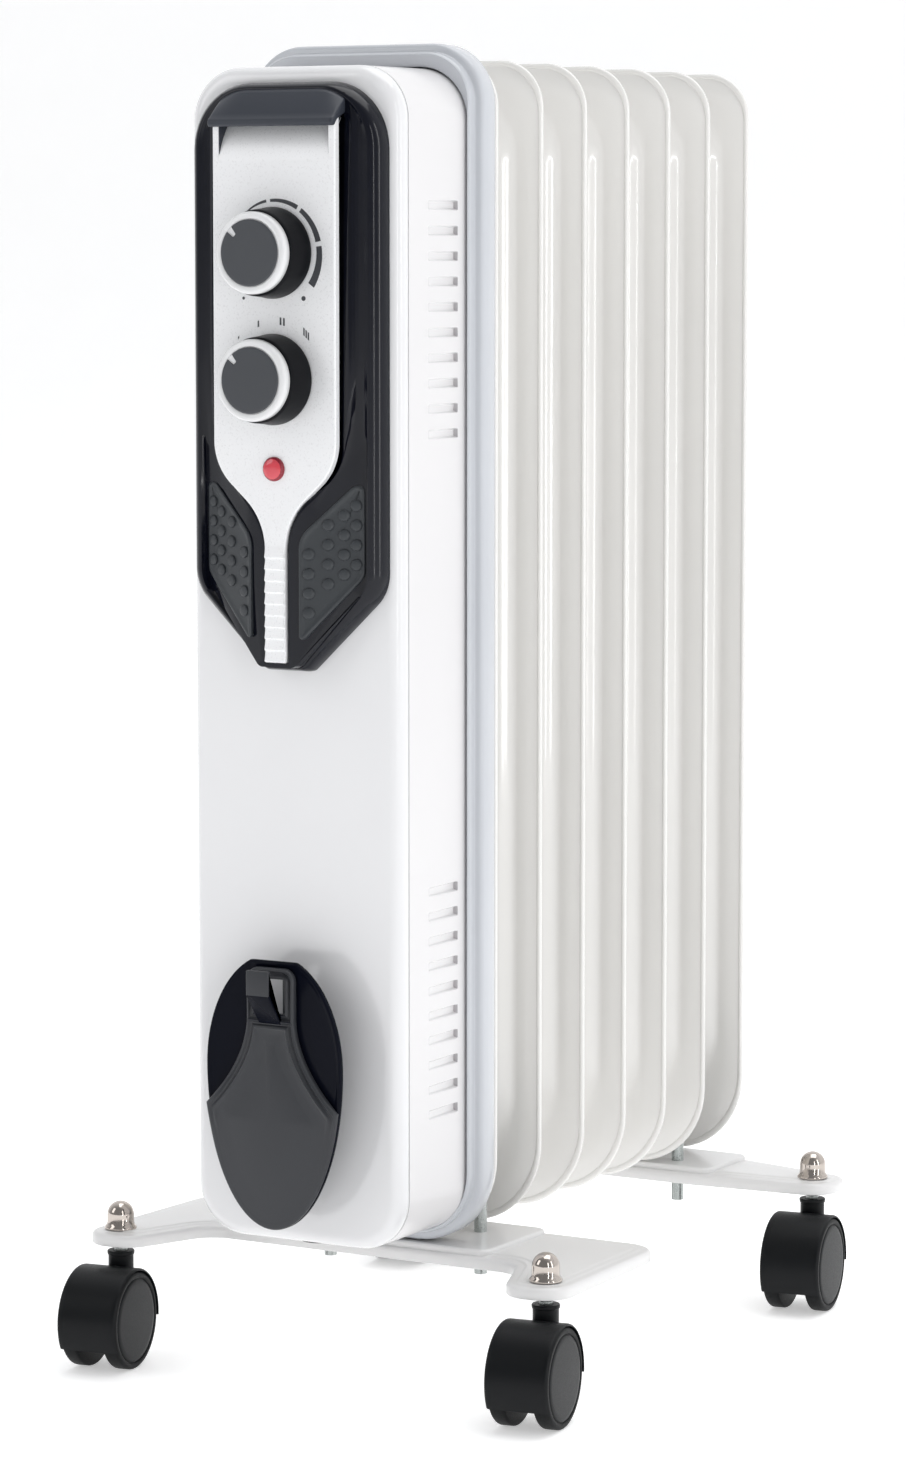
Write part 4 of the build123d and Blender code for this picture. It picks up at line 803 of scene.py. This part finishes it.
def build_knob(knob, body):
    """Skirt, rim and cap turned about the shaft; the cap's edge steps in at the pointer notch."""
    low, high = span(f"{knob}_skirt")
    ring_low, ring_high = span(f"{knob}_ring")
    cap_low, cap_high = span(f"{knob}_cap")
    z = (low[2] + high[2]) / 2
    back, step, front = high[1], ring_low[1] + 4.8, ring_low[1]
    skirt_r, rim_r = (high[0] - low[0]) / 2, (ring_high[0] - ring_low[0]) / 2
    cap_r, cap_front = (cap_high[0] - cap_low[0]) / 2, cap_low[1]
    skirt = [(0, back), (skirt_r - 0.8, back), (skirt_r, back - 0.5), (skirt_r, back - 1.3),
             (skirt_r - 0.35, back - 3), (rim_r + 0.9, step + 1.4), (rim_r + 0.6, step + 0.6),
             (rim_r - 0.1, step + 0.1), (0, step)]
    piece(f"{knob}_flared_skirt", [front_turned(skirt, 0, z, 96)], [KNOB_BLACK], body,
          [f"{knob}_skirt"], sharp=50)
    angle = np.linspace(0, math.pi / 2, 7)
    rim = [(0, step - 0.05), (rim_r - 0.5, step - 0.05), (rim_r, step - 0.5), (rim_r, front + 1.6)]
    rim += [(rim_r - 1.6 * (1 - math.cos(a)), front + 1.6 * (1 - math.sin(a))) for a in angle[1:]]
    rim += [(cap_r + 1.0, front), (cap_r + 0.35, front + 0.25), (cap_r + 0.15, front + 0.9),
            (cap_r + 0.12, cap_front + 0.75), (0, cap_front + 0.75)]
    piece(f"{knob}_rim", [front_turned(rim, 0, z, 96)], [KNOB_WHITE], body,
          [f"{knob}_ring"], sharp=50)
    turn = np.linspace(0, 2 * math.pi, 720, endpoint=False)
    off = (turn - math.radians(135) + math.pi) % (2 * math.pi) - math.pi
    across, along = cap_r * np.sin(off), cap_r * np.cos(off)
    notched = (np.abs(across) < 1.55) & (along > 0)
    reach = np.where(notched, cap_r - 4.0 + 0.5 * (across / 1.55) ** 4, cap_r)
    rows = [(0.0, cap_front + 0.9), (1.0, cap_front + 0.9), (1.0, cap_front + 0.45),
            (0.985, cap_front + 0.18), (0.955, cap_front + 0.04), (0.9, cap_front), (0.0, cap_front)]
    rings = np.stack([np.stack([share * reach * np.cos(turn), np.full(720, y),
                                z + share * reach * np.sin(turn)], axis=-1) for share, y in rows])
    piece(f"{knob}_face", [grid(rings, around=True)], [KNOB_GREY], body,
          [f"{knob}_cap"], sharp=50)


# ---------------------------------------------------------------- cord winder
def slot_outline(outline, half, low_z, high_z):
    """Points of an upright oblong slot in the directions of an outline's points from its middle."""
    middle = np.array([0, (low_z + high_z) / 2])
    away = outline - middle
    away /= np.linalg.norm(away, axis=1, keepdims=True)
    reach = np.minimum(half / np.maximum(np.abs(away[:, 0]), 1e-6),
                       (high_z - low_z) / 2 / np.maximum(np.abs(away[:, 1]), 1e-6))
    return middle + away * reach[:, None]


def build_winder():
    """Spool with an oval plate, and the shield with its narrow neck and hook in front of it."""
    spool_low, spool_high = span("winder_spool")
    face_low, face_high = span("winder_face")
    front, sheet = spool_low[1], 3.0
    wide_z, half, top = 158.0, (spool_high[0] - spool_low[0]) / 2, spool_high[2]
    slot_half, slot_low, slot_high = 6.5, 182.0, 203.0
    turn = np.linspace(0, 2 * math.pi, 180, endpoint=False)
    reach = np.where(np.sin(turn) > 0, top - wide_z + 3.0, wide_z - spool_low[2])
    oval = np.stack([half * np.cos(turn), np.minimum(wide_z + reach * np.sin(turn), top)], axis=1)
    slot = slot_outline(oval, slot_half, slot_low, slot_high)
    back = front + sheet
    rim = [(1.6, back), (0.6, back - 0.3), (0.0, back - 1.0), (0.0, front + 0.9),
           (0.35, front + 0.25), (1.0, front), (1.7, front + 0.1), (2.4, front + 0.55),
           (3.0, front + 0.7)]
    rings = [upright(drawn_in(oval, inset), y) for inset, y in rim]
    rings += [upright(slot, front + 0.7), upright(slot, back)]
    core = rounded(oblong(-14, 14, 110, 176), 10.0, 0.0, 8)
    skins = [grid(np.stack(rings), around=True, along=True),
             capped(np.stack([upright(core, PANEL_Y - 0.05), upright(core, back + 0.2)]))]
    piece("winder_oval_plate", skins, [PLATE_BLACK], "heater", ["winder_spool"],
          sharp=50)

    neck, foot_z, flare_z = 12.7, 178.0, 140.0
    lower = wide_z - spool_low[2]

    def shield(inset):
        """Lower oval, then a curve up to the neck on each side, all drawn in by the inset."""
        wide, deep = half - inset, lower - inset
        joint_z = flare_z - 0.55 * inset
        flare = math.asin((wide_z - joint_z) / deep)
        arc = np.linspace(math.pi + flare, 2 * math.pi - flare, 64)
        base = np.stack([wide * np.cos(arc), wide_z + deep * np.sin(arc)], axis=1)
        t = np.linspace(0, 1, 25)[1:, None]
        end = np.array([neck - inset, 181.0 - inset])
        pull = np.array([neck - inset + 0.8, foot_z - 17.5])
        curve = (1 - t) ** 2 * base[-1] + 2 * t * (1 - t) * pull + t ** 2 * end
        return np.concatenate([base, curve, curve[::-1] * np.array([-1, 1])])

    # (inset, lift, share of the bead) from the shield's back edge over its twin ridges
    rows = [(1.2, 0.0, 0.0), (0.0, 0.3, 0.0), (0.0, 1.0, 0.3), (0.35, 1.7, 0.8), (0.9, 1.95, 1.1),
            (1.4, 2.0, 1.1), (1.9, 2.05, 0.2), (2.3, 2.05, -0.25), (2.9, 2.05, -0.3),
            (3.3, 2.05, 0.2), (3.8, 2.1, 0.75), (4.3, 2.15, 0.8), (4.9, 2.15, 0.2), (5.5, 2.2, -0.1),
            (8.0, 2.35, 0.0), (10.5, 2.45, 0.0)]

    def beaded(outline, lift, bead):
        """An outline with a bead along the neck and the flare, none low down or across the neck."""
        x, z = np.abs(outline[:, 0]), outline[:, 1]
        raised = np.clip((z - 128.0) / 16.0, 0, 1)
        raised = raised * np.where((z > 173) & (z < 187), np.clip((x - 6.6) / 1.2, 0, 1), 1)
        return upright(outline, front - lift - bead * raised)

    rings = [beaded(shield(inset), lift, bead) for inset, lift, bead in rows]
    edge, middle = shield(10.5), np.array([0, 134.0])
    rings += [upright(middle + (edge - middle) * share, front - 2.45 - 1.5 * (1 - share ** 2))
              for share in np.linspace(1, 0.05, 14)[1:]]
    skins = [capped(np.stack(rings))]
    frame_corners = oblong(-neck, neck, 179.0, face_high[2])
    hole_corners = oblong(-slot_half, slot_half, slot_low, slot_high)
    bar = [row for row in rows if row[0] < 5.2]
    frame_radii = [0.4, 0.4, 5.8, 5.8]
    rings = [beaded(rounded(frame_corners, frame_radii, min(inset, 5.6), 8), lift, bead)
             for inset, lift, bead in bar]
    rings += [upright(rounded(hole_corners, 1.0, -grow, 8), front - lift)
              for grow, lift in ((0.7, 2.2), (0.15, 2.1), (0.0, 1.6), (0.0, 0.0))]
    skins.append(grid(np.stack(rings), around=True, along=True))
    hook_y, rise = face_low[1], 194.0
    hook = [(front - 1.6, 182.2), (front - 1.6, 179.0), (front - 2.4, 178.6),
            (hook_y, rise - 1.4), (hook_y, 204.2), (hook_y + 2.0, 204.2), (hook_y + 2.0, rise - 0.2)]
    hook = hook[::-1]
    rings = carried([(inset, x) for inset, x in plate(-5.9, 5.9, 0.45, 3)],
                    lambda i: rounded(hook, [0.3, 0.5, 0.5, 0.6, 0.3, 0.3, 0.3], i * 0.9, 3), sideways)
    skins.append(capped(rings))

    def is_shaded_under_hook(centre):
        """Faces of the hook's sloping underside, which take the black plate finish as painted shade."""
        return (centre[:, 2] > 180) & (centre[:, 2] < rise - 0.3) & (centre[:, 1] < front - 2.9) & (
            np.abs(centre[:, 0]) < 6.0)

    # the hook's underside takes the black plate finish as painted shade
    piece("winder_shield", skins, [SHIELD_SATIN, PLATE_BLACK], "heater",
          ["winder_face"], sharp=45, second=is_shaded_under_hook)


# ---------------------------------------------------------------- feet, nuts, stems
def build_feet():
    """Pressed feet: an outline with lobes, a deep skirt, and two low steps that follow its edge."""
    front_low, front_high = span("front_foot")
    rear_low, rear_high = span("rear_foot")
    bottom, top = front_low[2], front_high[2] - 2.0
    reach = front_high[0]
    near = front_low[1]
    bar_near, far = near + 44.0, front_high[1]
    front = [(125, far), (-125, far), (-reach, near), (-reach + 28, near), (-84, bar_near),
             (84, bar_near), (reach - 28, near), (reach, near)]
    front_radii = [17, 17, 13.9, 13.9, 16, 16, 13.9, 13.9]
    lobe_near, lobe_far = 124.1, 152.1
    rear = [(56, rear_high[1]), (-56, rear_high[1]), (-reach, lobe_far), (-reach, lobe_near),
            (-58, rear_low[1]), (58, rear_low[1]), (reach, lobe_near), (reach, lobe_far)]
    rear_radii = [30, 30, 13.4, 13.4, 30, 30, 13.4, 13.4]
    skirt = [(1.5, bottom + 3.0), (1.5, bottom), (0.4, bottom), (0.0, bottom + 0.5)]
    angle = np.linspace(0, math.pi / 2, 6)
    rim = top - 0.9
    skirt += [(2.0 * (1 - math.cos(a)), rim - 2.0 * (1 - math.sin(a))) for a in angle]
    skirt += [(4.2, rim), (4.8, rim + 0.08), (5.4, rim + 0.38), (6.0, rim + 0.45), (7.8, rim + 0.45),
              (8.4, rim + 0.53), (9.0, rim + 0.83), (9.6, rim + 0.9), (10.4, rim + 0.9)]
    specs = (("front_foot", front, front_radii, bar_near, far),
             ("rear_foot", rear, rear_radii, rear_low[1], rear_high[1]))
    for name, corners, radii, start_y, end_y in specs:
        rings = carried(skirt, lambda i: rounded(corners, radii, i, 12), level)
        deck = oblong(-66, 66, start_y + 2.8, end_y - 2.8)
        raised = carried(plate(top - 3, top + 2.0, 1.4), lambda i: rounded(deck, 6.0, i, 8), level)
        piece(f"{name}_pressing", [capped(rings), capped(raised)], [FOOT_PAINT], "heater",
              [name], sharp=48)


def stem_spots():
    """Castor stem centres in row order, from the stems' box."""
    flange = 5.5
    x, y, _ = span("castor_stems")[1] - flange
    return dict(zip(CASTORS, ((-x, -y), (x, -y), (-x, y), (x, y))))


def build_nuts_and_stems():
    """Domed cap nuts with a brim, and threaded stems, each turned once and repeated at the corners.

    The thread is a ridge every millimetre: the radius rises and falls in line with height.
    """
    low, high = span("cap_nuts")
    base, top, radius, brim = low[2], high[2], 6.4, 7.6
    angle = np.linspace(0, math.pi / 2, 14)
    dome = [(0, base), (brim, base), (brim + 0.1, base + 0.5), (brim - 0.2, base + 1.2),
            (brim - 0.8, base + 1.8), (radius + 0.25, base + 2.3), (radius, base + 3.0)]
    dome += [(radius * math.cos(a), top - radius + radius * math.sin(a)) for a in angle]
    shifts = [(x, y, 0) for x, y in stem_spots().values()]
    nut = turned(dome, (0, 0, 0), (0, 0, 1), (1, 0, 0), 64)
    piece("cap_nut_domes", copied(nut, shifts), [CHROME], "heater", ["cap_nuts"], sharp=60)
    z = np.arange(span("castor_stems")[0][2] + 0.5, base - 0.4, 0.22)
    thread = 2.95 + 0.28 * np.abs(z % 1.0 - 0.5) * 2
    rows = [(0, z[0] - 0.4), (2.4, z[0] - 0.4)] + list(zip(thread, z)) + [(0, z[-1] + 0.1)]
    screw = turned(rows, (0, 0, 0), (0, 0, 1), (1, 0, 0), 28)
    washer_z = base - 1.5
    washer = [(0, washer_z - 2), (5.1, washer_z - 2), (5.5, washer_z - 1.6), (5.5, washer_z),
              (0, washer_z)]
    ring = turned(washer, (0, 0, 0), (0, 0, 1), (1, 0, 0), 40)
    piece("threaded_stems", copied(screw, shifts) + copied(ring, shifts), [ZINC], "heater",
          ["castor_stems"], sharp=30)


# ---------------------------------------------------------------- castors
def build_castor(tag, spot):
    """Twin-wheel castor: a hood bent round the axle, a collar for the stem, and two dished wheels."""
    joint = next(j for j in frame["joints"] if j["name"] == f"wheel_spin_{tag}")
    hub = np.array(joint["pos_m"]) / MM
    axle = np.array(joint["axis"], float)
    back = np.array([-axle[1], axle[0], 0.0])
    up = np.array([0.0, 0.0, 1.0])
    half, hood_r, well_r, web = 15.0, 24.7, 23.6, 6.2

    def swept(section, start, end, steps):
        """A closed (radius, along) section swept round the axle between two angles."""
        angle = np.radians(np.linspace(start, end, steps))
        out = np.cos(angle)[:, None] * back + np.sin(angle)[:, None] * up
        section = np.asarray(section, float)
        rings = hub + section[None, :, :1] * out[:, None] + section[None, :, 1:] * axle
        return capped(rings)

    edge = np.radians(np.linspace(0, 90, 5))
    shell = [(well_r, -half + 0.2), (hood_r - 0.9, -half)]
    shell += [(hood_r - 1.3 + 1.3 * math.sin(a), -half + 1.3 - 1.3 * math.cos(a)) for a in edge[1:]]
    shell += [(hood_r, u) for u in np.linspace(-half + 3, half - 3, 7)]
    shell += [(hood_r - 1.3 + 1.3 * math.cos(a), half - 1.3 + 1.3 * math.sin(a)) for a in edge[:-1]]
    shell += [(hood_r - 0.9, half), (well_r, half - 0.2)]
    start, end = -5.0, 208.0
    disc = [(3.0, -web), (well_r + 0.3, -web), (well_r + 0.3, web), (3.0, web)]
    collar = [(0, 34), (6.0, 38), (6.0, 51.2), (6.4, 51.6), (6.5, 52.9), (6.2, 53.4), (3.4, 53.5),
              (3.2, 52.5), (0, 52.4)]
    stem = (spot[0], spot[1], 0)
    skins = [swept(shell, start, end, 60), swept(disc, start, end, 40),
             turned(collar, stem, (0, 0, 1), (1, 0, 0), 48)]
    piece(f"castor_{tag}_hood", skins, [CASTOR], f"castor_{tag}",
          [f"castor_hood_{tag}"], sharp=40)
    wheels = []
    radius, inner, width = 23.2, 6.9, 15.0
    corner = np.radians(np.linspace(0, 90, 6))
    rows = [(0, inner), (radius - 1.2, inner)]
    rows += [(radius - 1.2 + 1.2 * math.sin(a), inner + 1.2 - 1.2 * math.cos(a)) for a in corner[1:]]
    rows += [(radius, width - 2.0)]
    rows += [(radius - 1.6 + 1.6 * math.cos(a), width - 1.9 + 1.6 * math.sin(a)) for a in corner[1:]]
    rows += [(20.6, width - 0.3), (20.3, width - 0.5), (20.05, width - 1.0), (19.7, width - 1.0),
             (19.4, width - 0.45), (18.9, width - 0.15), (17.0, width - 0.02), (0, width)]
    for sign in (-1, 1):
        wheels.append(turned([(r, sign * u) for r, u in rows], hub, axle, back, 84))

    def is_face(centre):
        """Faces of the dished disc inside each wheel's rim."""
        away = centre - hub
        along = away @ axle
        radial = np.linalg.norm(away - along[:, None] * axle, axis=1)
        return (np.abs(along) > width - 1.2) & (radial < 19.6)

    piece(f"castor_{tag}_wheels", wheels, [TYRE, WHEEL_FACE], f"wheels_{tag}",
          [f"castor_wheels_{tag}"], sharp=40, second=is_face)


# ---------------------------------------------------------------- CAD nodes that stay
def dress_cad_nodes():
    """Gives the plain and the hidden CAD nodes their finishes."""
    kept = {"front_u_bolt": ZINC, "rear_u_bolt": ZINC, "wing_nuts": ZINC, "winder_screws": ZINC,
            "top_bracket": ZINC, "bottom_bracket": ZINC, "heating_element": ZINC,
            "thermostat_shaft": ZINC, "mode_switch_shaft": ZINC, "filler_plug": BRASS,
            "element_flange": BRASS, "element_gasket": SEAL, "cord_gland": SEAL,
            "thermal_cutout": INNER, "terminal_block": INNER, "lamp_body": INNER,
            "thermostat_body": INNER, "mode_switch_body": INNER, "wiring": WIRE}
    kept.update({f"castor_axle_{tag}": ZINC for tag in CASTORS})
    for name, material in kept.items():
        mesh = frame["nodes"][name].data
        mesh.materials.clear()
        mesh.materials.append(material)


# ---------------------------------------------------------------- stage, lights and camera
def build_stage():
    """Plain pale floor that turns up into a far wall: a profile carried along X."""
    angle = np.linspace(0, math.pi / 2, 24)
    floor = [(-30.0, 0.0), (3.0, 0.0)]
    floor += [(3.0 + 2.0 * math.sin(a), 2.0 - 2.0 * math.cos(a)) for a in angle[1:]] + [(5.0, 6.0)]
    rings = np.stack([sideways(np.array(floor), x) for x in (-20.0, 20.0)])
    points, faces = grid(rings)
    mesh = bpy.data.meshes.new("studio_floor")
    mesh.from_pydata(points.tolist(), [], faces)
    mesh.shade_smooth()
    stage = bpy.data.objects.new("studio_floor", mesh)
    bpy.context.scene.collection.objects.link(stage)
    mesh.materials.append(finish("studio_white", (0.93, 0.93, 0.93), (0.92, 0.92, 0.92), 0.9,
                                 Specular_IOR_Level=0.0, Emission_Color=(1, 1, 1, 1),
                                 Emission_Strength=0.42))


def add_area(name, place, target, size, power):
    """Oblong soft box at a place in metres, facing a target, with its power in watts."""
    light = bpy.data.lights.new(name, "AREA")
    light.shape, light.size, light.size_y = "RECTANGLE", size[0], size[1]
    light.energy = power
    obj = bpy.data.objects.new(name, light)
    obj.location = place
    obj.rotation_euler = (Vector(target) - Vector(place)).to_track_quat("-Z", "Y").to_euler()
    bpy.context.scene.collection.objects.link(obj)


def build_lights():
    """Pale surroundings, dimmer in front so that gloss black stays black, and four soft boxes."""
    world = bpy.data.worlds.new("studio")
    bpy.context.scene.world = world
    world.use_nodes = True
    tree = world.node_tree
    place = node(tree, "ShaderNodeTexCoord")
    axes = node(tree, "ShaderNodeSeparateXYZ", [(0, place.outputs["Generated"])])
    level_of = node(tree, "ShaderNodeMapRange", [("Value", axes.outputs["Y"]), ("From Min", -0.65),
                                                 ("From Max", 0.35), ("To Min", 0.30),
                                                 ("To Max", 0.92)], interpolation_type="SMOOTHSTEP")
    background = tree.nodes["Background"]
    background.inputs["Color"].default_value = (0.97, 0.98, 1.0, 1)
    tree.links.new(level_of.outputs["Result"], background.inputs["Strength"])
    aim = (0, 0, 0.35)
    add_area("key_left", (-2.0, -2.3, 1.7), aim, (1.2, 2.0), 13)
    add_area("strip_right", (2.6, -0.4, 1.0), aim, (0.16, 2.4), 9)
    add_area("strip_near", (1.75, -1.55, 0.75), aim, (0.07, 1.7), 5)
    add_area("top", (0.3, 0.2, 2.8), aim, (2.0, 2.0), 24)
    bpy.context.scene.view_settings.view_transform = "Standard"


def build_camera():
    """Eye to the right of the front and above the middle, tilted down onto the heater."""
    camera = bpy.data.cameras.new("eye")
    camera.sensor_width = 36.0
    camera.sensor_fit = "AUTO"
    camera.lens = 115.84
    obj = bpy.data.objects.new("eye", camera)
    obj.location = (1.13909, -1.99040, 0.53165)
    obj.rotation_euler = (math.radians(90 - 6.01), 0, math.radians(30.06))
    bpy.context.scene.collection.objects.link(obj)
    bpy.context.scene.camera = obj


build_fins()
build_back_frame()
build_side_shell()
build_front_panel()
build_bezel()
build_fascia()
build_hood()
build_pads()
build_lamp()
build_dials()
build_knob("thermostat_knob", "thermostat_knob")
build_knob("mode_knob", "mode_knob")
build_winder()
build_feet()
build_nuts_and_stems()
for castor_tag, castor_spot in stem_spots().items():
    build_castor(castor_tag, castor_spot)
dress_cad_nodes()
build_stage()
build_lights()
build_camera()
